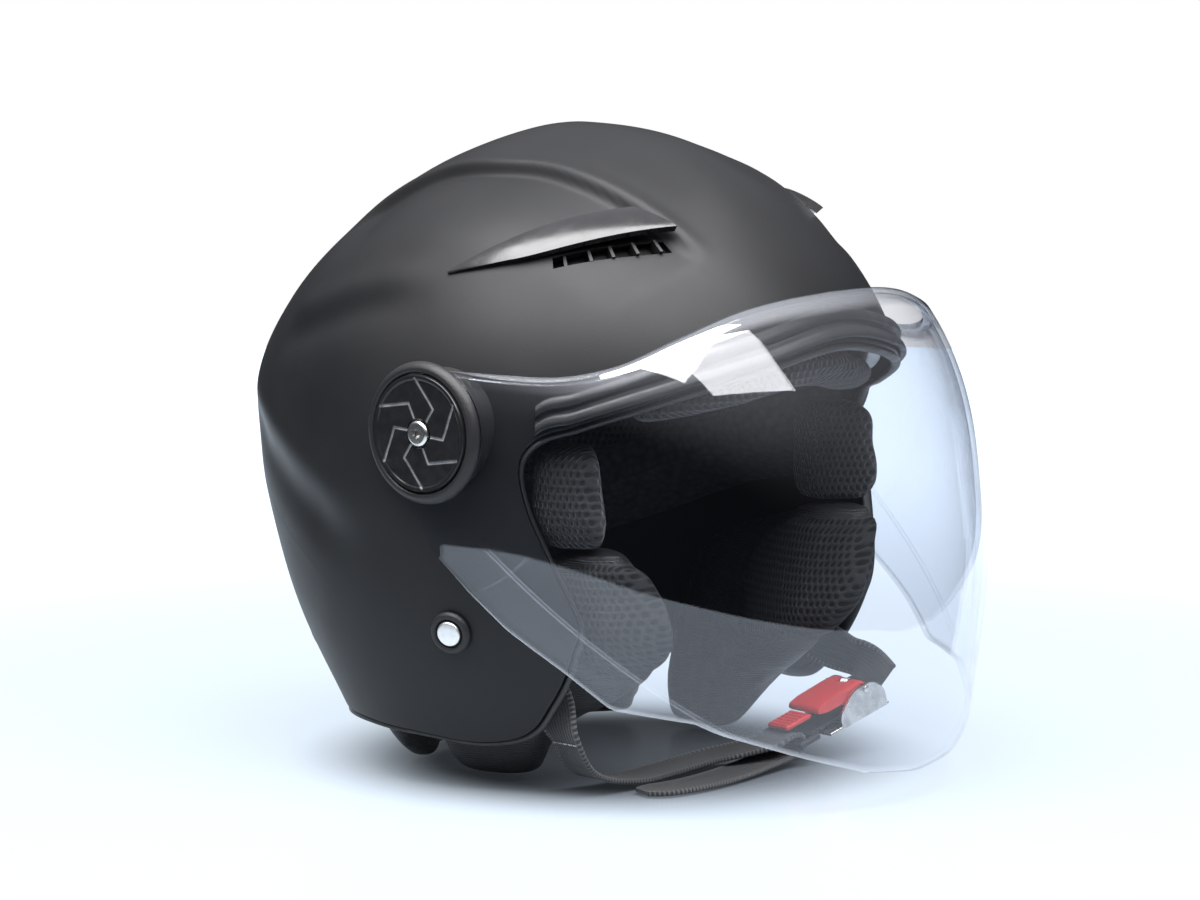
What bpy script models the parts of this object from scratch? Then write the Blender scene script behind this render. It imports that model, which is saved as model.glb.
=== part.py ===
"""Open face motorcycle helmet with a long clear visor.

The wearer looks along -Y and +Z is up; the wearer's right side is -X. The origin is on the floor,
under the middle of the bounding box. Shapes are worked out in millimetres and turned into metres
when a mesh is made.

The outer shell is a surface round SHELL_CENTRE: its radius in any direction comes from three
profiles (front, rear and side). Liner, pads and trims are layers inset from that same surface.
"""

from math import cos, pi, radians, sin

import bmesh
import bpy
import numpy as np
from mathutils import Matrix, Vector

METRES = 0.001

# --- driving dimensions, millimetres -----------------------------------------------------------
SHELL_CENTRE = np.array([0.0, 20.5, 135.0])
SHELL_WALL = 4.0
LINER_CLEARANCE = 1.8
LINER_THICKNESS = 26.0
COMFORT_CLEARANCE = 1.8
COMFORT_THICKNESS = 8.0
GAP = 0.4
# Side pads may swell outwards in front of this bearing (degrees), reaching the full swell over a span.
PAD_CLEAR_BEARING = 53.0
PAD_SWELL_SPAN = 8.0
FLOOR = -SHELL_CENTRE[2]

# Shell profiles from the centre, (distance outwards, height), from the crown down.
FRONT_PROFILE = [(0, 123), (52, 117), (98, 92), (128, 55), (141, 16), (143, -20), (134, -60),
                 (115, -105), (92, -140)]
REAR_PROFILE = [(0, 123), (45, 111), (88, 84), (121, 51), (136, 22), (133, -14), (117, -56),
                (90, -96), (62, -130)]
SIDE_PROFILE = [(0, 123), (52, 109), (91, 78), (115, 40), (123, 8), (123, -35), (118, -78),
                (106, -112), (92, -145)]

EDGE_COLUMNS = 56
LINER_COLUMNS = 36
COMFORT_COLUMNS = 32

# The shell's edge in side view, (y, z) from the centre: brow, face opening, lobe, nape.
SHELL_EDGE = [(-134, 44), (-125, 36), (-103, 25.5), (-80, 16), (-67, 10.5), (-61.5, 0), (-64, -15),
              (-71, -35), (-79, -60), (-76, -74), (-63, -97), (-50, -110), (-34, -113.6),
              (0, -111.5), (30, -110), (62, -111), (84, -112)]
# The foam liner stops higher at the sides, where the cheek pads take over.
LINER_EDGE = [(-133, 47), (-124, 39), (-102, 29), (-79, 20), (-64, 12), (-57, 0), (-55, -14),
              (-50, -30), (-30, -36), (0, -42), (40, -58), (70, -70), (100, -76)]

# Visor: half width and front distance at each height, and its edges along the sweep from ear
# (1) to the middle of the face (0). Heights and distances are from the shell centre.
PIVOT_Y, PIVOT_Z = -27.0, 12.0
VISOR_WALL = 2.2
VISOR_HALF_WIDTH = [(-134, 108), (-92, 118), (-60, 123), (-20, 125.6), (36, 125.6), (63, 113)]
VISOR_FRONT = [(-134, -171), (-100, -174), (-49, -178), (-25, -175), (16, -163), (50, -143),
               (63, -132)]
VISOR_TOP = [(0, 62), (0.15, 61), (0.3, 57.5), (0.45, 50), (0.62, 39), (0.75, 35), (1.0, 37)]
VISOR_BOTTOM = [(0, -123), (0.15, -120), (0.3, -112), (0.483, -101), (0.532, -96.5), (0.69, -92),
                (0.776, -78), (0.88, -63), (0.952, -49), (1.0, -38)]
VISOR_POWER = 2.15
VISOR_FLAT = 6.0
VISOR_LIP = 4.0
VISOR_LIP_RISE = 1.2
EAR_RADIUS = 24.0
EAR_HOLE = 10.6

# Pivot stack, distances along X from the middle of the helmet.
EAR_OUTSIDE = 125.6
EAR_INSIDE = EAR_OUTSIDE - VISOR_WALL
PIVOT_BASE_INSIDE = 109.0
PIVOT_BASE_OUTSIDE = 121.4
PIVOT_BASE_RADIUS = 24.5
PIVOT_SEAT_RADIUS = 12.5
PIVOT_BOSS_RADIUS = 7.0
PIVOT_RING_RADIUS = 28.0
PIVOT_CAP_RADIUS = 23.2
PIVOT_CAP_OUTSIDE = 131.2
SCREW_RADIUS = 2.5
SCREW_HEAD_RADIUS = 5.0
SCREW_BORE = 2.9
WASHER_THICKNESS = 0.8

# Rivets that hold the straps and the neck roll: bearing from the front, height from the centre.
RIVETS = {"front_right": (-74.8, -67.5), "front_left": (74.8, -67.5),
          "rear_right": (-141.0, -88.0), "rear_left": (141.0, -88.0)}
RIVET_WASHER_RADIUS = 8.6
RIVET_CAP_RADIUS = 5.0
RIVET_SHANK_RADIUS = 2.2

STRAP_WIDTH = 18.0
STRAP_THICKNESS = 2.2
# The right strap hangs from its rivet, lies on the floor, turns back round the tongue's bar and
# ends in a free tail. Millimetres from the origin.
STRAP_RIGHT = [(-86, -43, 25), (-75, -44, 9.5), (-52, -45.5, 3.4), (-28, -46.5, 3.4), (-8, -51, 5.6),
               (5, -59, 8)]
STRAP_TAIL = [(14, -66.6, 3.4), (0, -67.4, 2.4), (-16, -68.8, 1.9), (-34, -69.4, 1.8),
              (-50, -67.6, 1.8), (-62, -63, 1.8)]
STRAP_LEFT = [(86, -60, 34), (79.5, -76.9, 27.4)]
# Inside the shell each strap drops from its rivet: bearing, height and inset from the wall.
STRAP_DROP = [(76.5, -60, 8.9), (70.5, -72, 9.0), (63.5, -84, 9.8), (57, -94, 11.2)]

# Edges of the upper side vents as directions from the centre, right side, from rear to front.
BLADE_UPPER = [(-96.5, -13, 71), (-84, -29.5, 82), (-69, -47.5, 91), (-49, -68, 96)]
BLADE_LOWER = [(-96, -14, 70), (-90, -33, 74.5), (-80.5, -51.5, 79), (-46, -86.5, 87.5)]
SLOT_UPPER = [(-79.5, -52.5, 77.5), (-64, -69, 82), (-49, -84, 85)]
SLOT_LOWER = [(-82, -55, 73.5), (-66, -73, 78), (-50, -89.5, 81)]
VENT_RIBS = 12

# Buckle: its own axes, U along the strap towards the left, W across it, N out of its face.
BUCKLE_ORIGIN = np.array([54.0, -72.5, 19.0])
BUCKLE_U = np.array([0.94, -0.17, 0.29])
LEVER_PIN = (8.0, 7.6)
LEVER_PIN_RADIUS = 1.4
LEVER_BORE = 1.8
# The right strap's turn round the bar at the tongue's end, (U, N) in the buckle's axes.
TONGUE_TURN = [(-40, 3.2), (-34.5, 3.4), (-30.8, 3.3), (-27.9, 2.0), (-26.9, -0.6), (-27.9, -3.2),
               (-30.8, -4.5), (-35, -4.8)]


# --- meshes ------------------------------------------------------------------------------------
def clear_scene():
    for item in list(bpy.data.objects):
        bpy.data.objects.remove(item, do_unlink=True)


def material(name, colour, roughness, metallic=0.0):
    """A Principled material, made once for each name."""
    found = bpy.data.materials.get(name)
    if found:
        return found
    made = bpy.data.materials.new(name)
    made.use_nodes = True
    shader = made.node_tree.nodes["Principled BSDF"]
    shader.inputs["Base Color"].default_value = (*colour, 1.0)
    shader.inputs["Roughness"].default_value = roughness
    shader.inputs["Metallic"].default_value = metallic
    return made


def mesh_object(name, points, faces, finish, smooth_angle=35.0):
    """One closed object from points in millimetres."""
    mesh = bpy.data.meshes.new(name)
    mesh.from_pydata([tuple(p) for p in np.asarray(points) * METRES], [], faces)
    bm = bmesh.new()
    bm.from_mesh(mesh)
    bmesh.ops.remove_doubles(bm, verts=bm.verts, dist=1e-6)
    bmesh.ops.recalc_face_normals(bm, faces=bm.faces)
    bm.to_mesh(mesh)
    bm.free()
    mesh.shade_smooth()
    mesh.set_sharp_from_angle(angle=radians(smooth_angle))
    made = bpy.data.objects.new(name, mesh)
    bpy.context.scene.collection.objects.link(made)
    mesh.materials.append(finish)
    return made


def loft(name, sections, finish, ring=False):
    """A solid through closed section loops; a ring joins its last section to its first."""
    sections = np.asarray(sections, float)
    count, size = sections.shape[:2]
    faces = []
    for i in range(count if ring else count - 1):
        here, there = i * size, ((i + 1) % count) * size
        for j in range(size):
            k = (j + 1) % size
            faces.append((here + j, here + k, there + k, there + j))
    if not ring:
        faces.append(tuple(range(size)))
        faces.append(tuple((count - 1) * size + j for j in range(size)))
    return mesh_object(name, sections.reshape(-1, 3), faces, finish)


def turned(name, profile, finish, place, segments=32):
    """A closed (radius, height) outline turned about the Z axis of `place`."""
    angles = np.linspace(0, 2 * pi, segments, endpoint=False)
    sections = [[(r * cos(a), r * sin(a), h) for r, h in profile] for a in angles]
    made = loft(name, sections, finish, ring=True)
    made.matrix_world = place
    return made


def ring_outline(inner, outer, low, high):
    """The outline of a plain ring, for turned()."""
    return [(inner, low), (outer, low), (outer, high), (inner, high)]


def box(name, size, centre, finish, place, bevel=0.0):
    """A block with rounded edges, given in the millimetre axes of `place`."""
    half = np.array(size) / 2
    corners = [(x, y, z) for x in (-1, 1) for y in (-1, 1) for z in (-1, 1)]
    points = [np.array(centre) + half * c for c in corners]
    faces = [(0, 1, 3, 2), (4, 6, 7, 5), (0, 4, 5, 1), (2, 3, 7, 6), (0, 2, 6, 4), (1, 5, 7, 3)]
    made = mesh_object(name, points, faces, finish)
    made.matrix_world = place
    if bevel:
        edge = made.modifiers.new("rounded edges", "BEVEL")
        edge.width = bevel * METRES
        edge.segments = 1
    return made


def cut(target, cutter):
    """Takes the cutter out of the target."""
    cutter.hide_render = True
    cutter.display_type = "WIRE"
    change = target.modifiers.new("cut " + cutter.name, "BOOLEAN")
    change.operation = "DIFFERENCE"
    change.solver = "EXACT"
    change.object = cutter


def join(target, other):
    """Unites a second solid with the target, so that both are one body."""
    other.hide_render = True
    other.display_type = "WIRE"
    change = target.modifiers.new("join " + other.name, "BOOLEAN")
    change.operation = "UNION"
    change.solver = "EXACT"
    change.object = other


def frame_at(origin, axis, across=(0.0, 1.0, 0.0)):
    """A matrix in metres with its Z along `axis` and its Y near `across`."""
    z = Vector(axis).normalized()
    x = Vector(across).cross(z).normalized()
    y = z.cross(x)
    rotation = Matrix((x, y, z)).transposed().to_4x4()
    return Matrix.Translation(Vector(origin) * METRES) @ rotation


# --- the shell surface -------------------------------------------------------------------------
def curve_through(at, places, values, start_slope=None):
    """A smooth curve through (places, values), read at `at`."""
    places, values = np.asarray(places, float), np.asarray(values, float)
    step = np.diff(places)
    slope = np.diff(values) / step
    tangent = np.concatenate([[slope[0]], slope, [slope[-1]]])
    tangent = (tangent[:-1] + tangent[1:]) / 2
    if start_slope is not None:
        tangent[0] = start_slope
    i = np.clip(np.searchsorted(places, at) - 1, 0, len(places) - 2)
    t = (np.clip(at, places[0], places[-1]) - places[i]) / step[i]
    return ((1 + 2 * t) * (1 - t) ** 2 * values[i] + t * (1 - t) ** 2 * step[i] * tangent[i]
            + t * t * (3 - 2 * t) * values[i + 1] + t * t * (t - 1) * step[i] * tangent[i + 1])


def profile_radius(tilt, profile):
    """The profile's distance from the centre at an angle from straight up."""
    outwards, height = np.array(profile, float).T
    return curve_through(tilt, np.arctan2(outwards, height), np.hypot(outwards, height), 0.0)


def shell_radius(points):
    """The shell's radius in the direction of each point from the centre."""
    x, y, z = np.moveaxis(np.asarray(points, float), -1, 0)
    flat = np.hypot(x, y) + 1e-9
    tilt = np.arctan2(flat, z)
    lengthwise = np.where(y < 0, profile_radius(tilt, FRONT_PROFILE), profile_radius(tilt, REAR_PROFILE))
    sideways = profile_radius(tilt, SIDE_PROFILE)
    return 1 / np.sqrt((y / flat / lengthwise) ** 2 + (x / flat / sideways) ** 2)


def on_shell(directions, inset=0.0):
    """Points on the shell in these directions, moved in towards the centre by `inset`."""
    directions = np.asarray(directions, float)
    unit = directions / np.linalg.norm(directions, axis=-1, keepdims=True)
    radius = shell_radius(unit) - inset
    return SHELL_CENTRE + unit * radius[..., None]


def bisect(inside, limit):
    """The largest value that `inside` holds for, element by element."""
    low, high = np.zeros_like(limit), np.array(limit, float)
    for _ in range(40):
        middle = (low + high) / 2
        held = inside(middle)
        low, high = np.where(held, middle, low), np.where(held, high, middle)
    return low


def side_direction(y, z):
    """The direction from the centre to the shell point that has this y and z, at +X."""
    y, z = np.asarray(y, float), np.asarray(z, float)

    def inside(x):
        points = np.stack([x, y, z], -1)
        return np.linalg.norm(points, axis=-1) < shell_radius(points)

    return np.stack([bisect(inside, np.full_like(y, 200.0)), y, z], -1)


def wall_point(bearing, height, inset):
    """A point of the shell wall at a compass bearing from the front (degrees) and a height.

    It is moved level towards the middle of the helmet by `inset`.
    """
    bearing, height, inset = np.broadcast_arrays(np.radians(np.asarray(bearing, float)),
                                                 np.asarray(height, float), np.asarray(inset, float))

    def at(flat):
        return np.stack([flat * np.sin(bearing), -flat * np.cos(bearing), height], -1)

    def inside(flat):
        points = at(flat)
        return np.linalg.norm(points, axis=-1) < shell_radius(points)

    return SHELL_CENTRE + at(bisect(inside, np.full(bearing.shape, 220.0)) - inset)


def wall_normal(bearing, height):
    """The outward normal of the shell wall."""
    side = wall_point([bearing - 0.5, bearing + 0.5], height, 0.0)
    rise = wall_point(bearing, [height - 0.5, height + 0.5], 0.0)
    normal = np.cross(side[1] - side[0], rise[1] - rise[0])
    normal /= np.linalg.norm(normal)
    outwards = wall_point(bearing, height, 0.0) - SHELL_CENTRE
    return normal if normal @ outwards > 0 else -normal


# A grid over the shell runs from a pole, high on the rear, out to the shell's edge.
POLE = np.array([0.0, 1.0, 1.0]) / np.sqrt(2)
FORWARD = np.array([0.0, -1.0, 1.0]) / np.sqrt(2)


def edge_angles(edge):
    """Turn round the pole, from the brow to the nape, and tilt away from it, for an edge."""
    outline = np.array(edge, float)
    directions = side_direction(outline[:, 0], outline[:, 1])
    turn = np.arctan2(directions[:, 0], directions @ FORWARD)
    tilt = np.arccos(directions @ POLE / np.linalg.norm(directions, axis=-1))
    turn[0], turn[-1] = 0.0, pi
    return turn, tilt


def pole_direction(turn, tilt):
    across = np.sin(turn)[..., None] * np.array([1.0, 0, 0]) + np.cos(turn)[..., None] * FORWARD
    return np.sin(tilt)[..., None] * across + np.cos(tilt)[..., None] * POLE


def even_turns(edge, columns):
    """Turns round the pole that space `columns` points evenly along the edge."""
    turn, tilt = edge_angles(edge)
    fine = np.linspace(0, pi, 400)
    points = on_shell(pole_direction(fine, curve_through(fine, turn, tilt)))
    length = np.concatenate([[0], np.cumsum(np.linalg.norm(np.diff(points, axis=0), axis=-1))])
    half = np.interp(np.linspace(0, length[-1], columns // 2 + 1), length, fine)
    return np.concatenate([half, -half[-2:0:-1]])


def cap_layer(name, edge, columns, rows, outer, inner, finish, reach=1.0, inner_reach=None):
    """A shell-shaped layer between two insets, open towards the wearer's head."""
    turn, tilt = edge_angles(edge)
    turns = even_turns(edge, columns)
    limit = curve_through(np.abs(turns), turn, tilt)
    rings = []
    for inset, extent, order in ((outer, reach, 1), (inner, inner_reach or reach, -1)):
        for step in np.linspace(0, 1, rows + 1)[1:][::order]:
            rings.append(on_shell(pole_direction(turns, limit * extent * step), inset))
    top = on_shell(POLE[None], outer)
    bottom = on_shell(POLE[None], inner)
    points = np.vstack([top, *rings, bottom])
    faces = []
    for r in range(2 * rows - 1):
        for c in range(columns):
            d = (c + 1) % columns
            a = 1 + r * columns
            faces.append((a + c, a + d, a + columns + d, a + columns + c))
    last = len(points) - 1
    for c in range(columns):
        d = (c + 1) % columns
        faces.append((0, 1 + d, 1 + c))
        faces.append((last, last - columns + c, last - columns + d))
    return mesh_object(name, points, faces, finish)


# --- the helmet's finishes ---------------------------------------------------------------------
def finishes():
    return {
        "shell": material("matte_black_shell", (0.018, 0.019, 0.021), 0.55),
        "gloss": material("gloss_black_plastic", (0.010, 0.010, 0.011), 0.16),
        "satin": material("satin_black_plastic", (0.016, 0.016, 0.017), 0.45),
        "rubber": material("black_rubber", (0.014, 0.014, 0.015), 0.62),
        "foam": material("grey_expanded_foam", (0.045, 0.045, 0.048), 0.9),
        "fabric": material("black_spacer_mesh", (0.012, 0.012, 0.013), 0.95),
        "leather": material("black_leatherette", (0.016, 0.016, 0.017), 0.6),
        "webbing": material("black_webbing", (0.012, 0.012, 0.013), 0.85),
        "visor": material("clear_polycarbonate", (0.93, 0.94, 0.96), 0.03),
        "steel": material("bright_steel", (0.62, 0.62, 0.60), 0.25, 1.0),
        "aluminium": material("satin_aluminium", (0.72, 0.72, 0.70), 0.38, 1.0),
        "red": material("red_plastic", (0.62, 0.035, 0.03), 0.38),
        "nylon": material("white_nylon", (0.75, 0.75, 0.72), 0.5),
    }


def side_frame(side, height=0.0):
    """Axes on the visor's pivot line, Z pointing out of the helmet on this side (+1 left)."""
    centre = SHELL_CENTRE + np.array([side * height, PIVOT_Y, PIVOT_Z])
    return frame_at(centre, (side, 0.0, 0.0))


# --- shell group -------------------------------------------------------------------------------
def rivet_frame(place):
    bearing, height = RIVETS[place]
    return frame_at(wall_point(bearing, height, 0.0), wall_normal(bearing, height), (0, 0, 1))


def outer_shell(finish):
    shell = cap_layer("outer_shell", SHELL_EDGE, EDGE_COLUMNS, 9, 0.0, SHELL_WALL, finish["shell"])
    for side, label in ((-1, "right"), (1, "left")):
        well = [(0, 100), (PIVOT_BASE_RADIUS + GAP, 100), (PIVOT_BASE_RADIUS + GAP, 150), (0, 150)]
        cut(shell, turned("pivot_well_" + label, well, finish["shell"], side_frame(side)))
        slot = surface_patch("vent_slot_" + label, SLOT_UPPER, SLOT_LOWER, side,
                             lambda s, t: 7.0, lambda s, t: -6.0, finish["shell"], 5, 1)
        cut(shell, slot)
    for place in RIVETS:
        hole = [(0, -9), (RIVET_SHANK_RADIUS + GAP, -9), (RIVET_SHANK_RADIUS + GAP, 6), (0, 6)]
        cut(shell, turned("rivet_hole_" + place, hole, finish["shell"], rivet_frame(place), 10))
    return shell


def foam_liner(finish):
    outer = SHELL_WALL + LINER_CLEARANCE
    liner = cap_layer("foam_liner", LINER_EDGE, LINER_COLUMNS, 7, outer, outer + LINER_THICKNESS,
                      finish["foam"], 0.985, 0.93)
    for side, label in ((-1, "right"), (1, "left")):
        well = [(0, PIVOT_BASE_INSIDE - 0.6), (PIVOT_BASE_RADIUS + 1, PIVOT_BASE_INSIDE - 0.6),
                (PIVOT_BASE_RADIUS + 1, 150), (0, 150)]
        cut(liner, turned("foam_well_" + label, well, finish["foam"], side_frame(side)))
    return liner


def comfort_liner(finish):
    outer = SHELL_WALL + LINER_CLEARANCE + LINER_THICKNESS + COMFORT_CLEARANCE
    return cap_layer("comfort_liner", LINER_EDGE, COMFORT_COLUMNS, 6, outer, outer + COMFORT_THICKNESS,
                     finish["fabric"], 0.84)


def edge_trim(finish):
    """A rubber bead just past the shell's edge, all the way round."""
    turn, tilt = edge_angles(SHELL_EDGE)
    turns = even_turns(SHELL_EDGE, EDGE_COLUMNS)
    limit = curve_through(np.abs(turns), turn, tilt)
    outline = [(-0.2, 0.006), (SHELL_WALL + 0.2, 0.006), (SHELL_WALL - 0.6, 0.024), (0.6, 0.024)]
    sections = np.stack([on_shell(pole_direction(turns, limit + extra), inset)
                         for inset, extra in outline], 1)
    return loft("edge_trim", sections, finish["rubber"], ring=True)


def brow_height(bearing):
    """The height of the shell's brow edge at a bearing, up to the corner of the face opening."""
    outline = np.array(SHELL_EDGE[:6], float)
    directions = side_direction(outline[:, 0], outline[:, 1])
    bearings = np.degrees(np.arctan2(directions[:, 0], -directions[:, 1]))
    bearings[0] = 0.0
    return curve_through(np.abs(bearing), bearings, outline[:, 1], 0.0)


def brow_band(name, reach, steps, outline, finish, end_height=1.0):
    """A band along the brow; the outline lists (inset, height above the shell's edge).

    Heights shrink towards the band's two ends, to `end_height` of their value.
    """
    bearings = np.linspace(-reach, reach, steps)
    edge = brow_height(bearings)
    scale = 1 - (1 - end_height) * (bearings / reach) ** 2
    sections = np.stack([wall_point(bearings, edge + rise * scale, inset) for inset, rise in outline], 1)
    return loft(name, sections, finish)


def brow_parts(finish):
    brow_band("brow_seal", 58.0, 33, [(-0.4, 1.5), (-3.6, 1.5), (-2.4, 5.0), (-2.4, 8.5), (-3.8, 10.5),
                                      (-2.6, 13.0), (-0.4, 13.0)], finish["rubber"])
    brow_band("brow_retainer", 55.0, 27, [(6.0, 1.0), (8.0, 0.0), (23.0, 1.0), (23.0, 2.6), (7.8, 2.2)],
              finish["gloss"])
    brow_band("brow_pad", 41.0, 21, [(9.0, -2.0), (24.0, -1.0), (38.0, 4.0), (43.0, -6.0), (38.0, -19.0),
                                     (24.0, -22.0), (12.0, -16.0)], finish["fabric"], 0.6)


# --- pads --------------------------------------------------------------------------------------
def crescent_pad(name, side, stations, finish, steps=7):
    """A pad along the shell wall, from level sections.

    Each station is (height, front and back bearing, inset, depth, swell). The swell is how much
    further out the pad reaches where it stands clear of the shell's edge.
    """
    sections = []
    for height, front, back, inset, depth, swell in stations:
        along = np.linspace(0.03, 0.97, steps)
        bearing = front + (back - front) * along
        out = swell * np.clip((PAD_CLEAR_BEARING - bearing) / PAD_SWELL_SPAN, 0, 1)
        round_off = np.sqrt(1 - (2 * along - 1) ** 4)
        middle = inset + (depth - out) / 2
        half = (depth + out) / 2 * round_off
        outer = wall_point(side * bearing, height, middle - half)
        inner = wall_point(side * bearing, height, middle + half)
        sections.append(np.vstack([outer, inner[::-1]]))
    return loft(name, sections, finish)


def pads(finish):
    for side, label in ((-1, "right"), (1, "left")):
        temple = [(8, 47, 59, 13, 19, 2), (4, 45.5, 60.5, 7, 29, 4), (-10, 45, 61.5, 6.5, 30, 5),
                  (-27, 44, 60, 6.5, 30, 6), (-32.5, 45, 57.5, 11, 22, 3)]
        crescent_pad("temple_pad_" + label, side, temple, finish["fabric"], 8)
        cheek = [(-35.5, 44, 53, 15, 19, 2), (-40, 38, 56, 11, 31, 7), (-50, 32, 84, 12.5, 36, 9),
                 (-68, 27, 96, 12.5, 39, 10), (-82, 26.5, 98, 13.5, 37.5, 5), (-93, 31, 100, 15.5, 34, 0),
                 (-103, 39, 100, 17, 30, 0), (-112, 50, 100, 18, 27.5, 0), (-128, 59, 97, 19, 24, 0),
                 (FLOOR, 62, 93, 21, 20, 0)]
        crescent_pad("cheek_pad_" + label, side, cheek, finish["leather"], 13)
    bearings = np.linspace(107, 253, 27)
    outline = [(9.0, -84.0), (9.0, -108.0), (12.0, -128.0), (17.0, FLOOR), (29.0, FLOOR),
               (36.0, -124.0), (38.0, -100.0), (33.0, -84.0)]
    sections = np.stack([wall_point(bearings, height, inset) for inset, height in outline], 1)
    loft("neck_roll", sections, finish["leather"])


# --- visor and its pivots ----------------------------------------------------------------------
def linear(at, table):
    places, values = np.array(table, float).T
    return np.interp(at, places, values)


def visor_point(sweep, height, inset):
    """A point of the visor: sweep -1 at the right ear line, 0 in front, 1 at the left."""
    half = linear(height, VISOR_HALF_WIDTH) - inset
    middle = PIVOT_Y - VISOR_FLAT
    length = middle - linear(height, VISOR_FRONT) - inset
    angle = np.abs(sweep) * pi / 2
    x = half * np.sin(angle) ** (2 / VISOR_POWER) * np.sign(sweep)
    y = middle - length * np.cos(angle) ** (2 / VISOR_POWER)
    return SHELL_CENTRE + np.stack([x, y, height], -1)


def visor_sections(columns, rows):
    """Section loops from the right ear line to the left one, outside up and inside down."""
    sections = []
    for sweep in np.sin(np.linspace(-pi / 2, pi / 2, columns)):
        top, bottom = linear(abs(sweep), VISOR_TOP), linear(abs(sweep), VISOR_BOTTOM)
        heights = np.linspace(bottom, top, rows)
        outer = visor_point(np.full(rows, sweep), heights, 0.0)
        inner = visor_point(np.full(rows, sweep), heights, VISOR_WALL)
        lip = outer[-1] * 0.25 + inner[-1] * 0.75
        inwards = SHELL_CENTRE[:2] + np.array([0.0, PIVOT_Y]) - lip[:2]
        lip[:2] += VISOR_LIP * min(1.0, 4 * (1 - abs(sweep))) * inwards / np.linalg.norm(inwards)
        lip[2] += VISOR_LIP_RISE
        under = lip - np.array([0.0, 0.0, VISOR_WALL])
        sections.append(np.vstack([outer, lip, under, inner[::-1][1:]]))
    return sections


def ear_plate(name, side, finish):
    """The flat ear behind the lens: round about the pivot, then straight down to the lower edge."""
    front = PIVOT_Y - VISOR_FLAT - 3.0
    low = linear(1.0, VISOR_BOTTOM) - 1.0
    reach = np.hypot(front - PIVOT_Y, low - PIVOT_Z)
    tangent = np.arctan2(low - PIVOT_Z, front - PIVOT_Y) + np.arccos(EAR_RADIUS / reach)
    angles = np.linspace(pi / 2, tangent, 16)
    outline = [(front, linear(1.0, VISOR_TOP)), (front, low)]
    outline[1:1] = [(PIVOT_Y + EAR_RADIUS * cos(a), PIVOT_Z + EAR_RADIUS * sin(a)) for a in angles]
    sections = [[SHELL_CENTRE + (side * x, y, z) for y, z in outline]
                for x in (EAR_INSIDE - 0.1, EAR_OUTSIDE + 0.1)]
    return loft(name, sections, finish)


def visor(finish):
    lens = loft("visor", visor_sections(35, 8), finish["visor"])
    for side, label in ((-1, "right"), (1, "left")):
        join(lens, ear_plate("visor_ear_" + label, side, finish["visor"]))
        hole = [(0, 115), (EAR_HOLE, 115), (EAR_HOLE, 135), (0, 135)]
        cut(lens, turned("visor_hole_" + label, hole, finish["visor"], side_frame(side), 28))
    return lens


def hang_on(pivot, pieces):
    """Parents pieces to an empty on their joint's axis, leaving them where they are."""
    for piece in pieces:
        world = piece.matrix_world.copy()
        piece.parent = pivot
        piece.matrix_parent_inverse = pivot.matrix_world.inverted()
        piece.matrix_world = world


def empty_at(name, place):
    made = bpy.data.objects.new(name, None)
    made.matrix_world = place
    bpy.context.scene.collection.objects.link(made)
    return made


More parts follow.
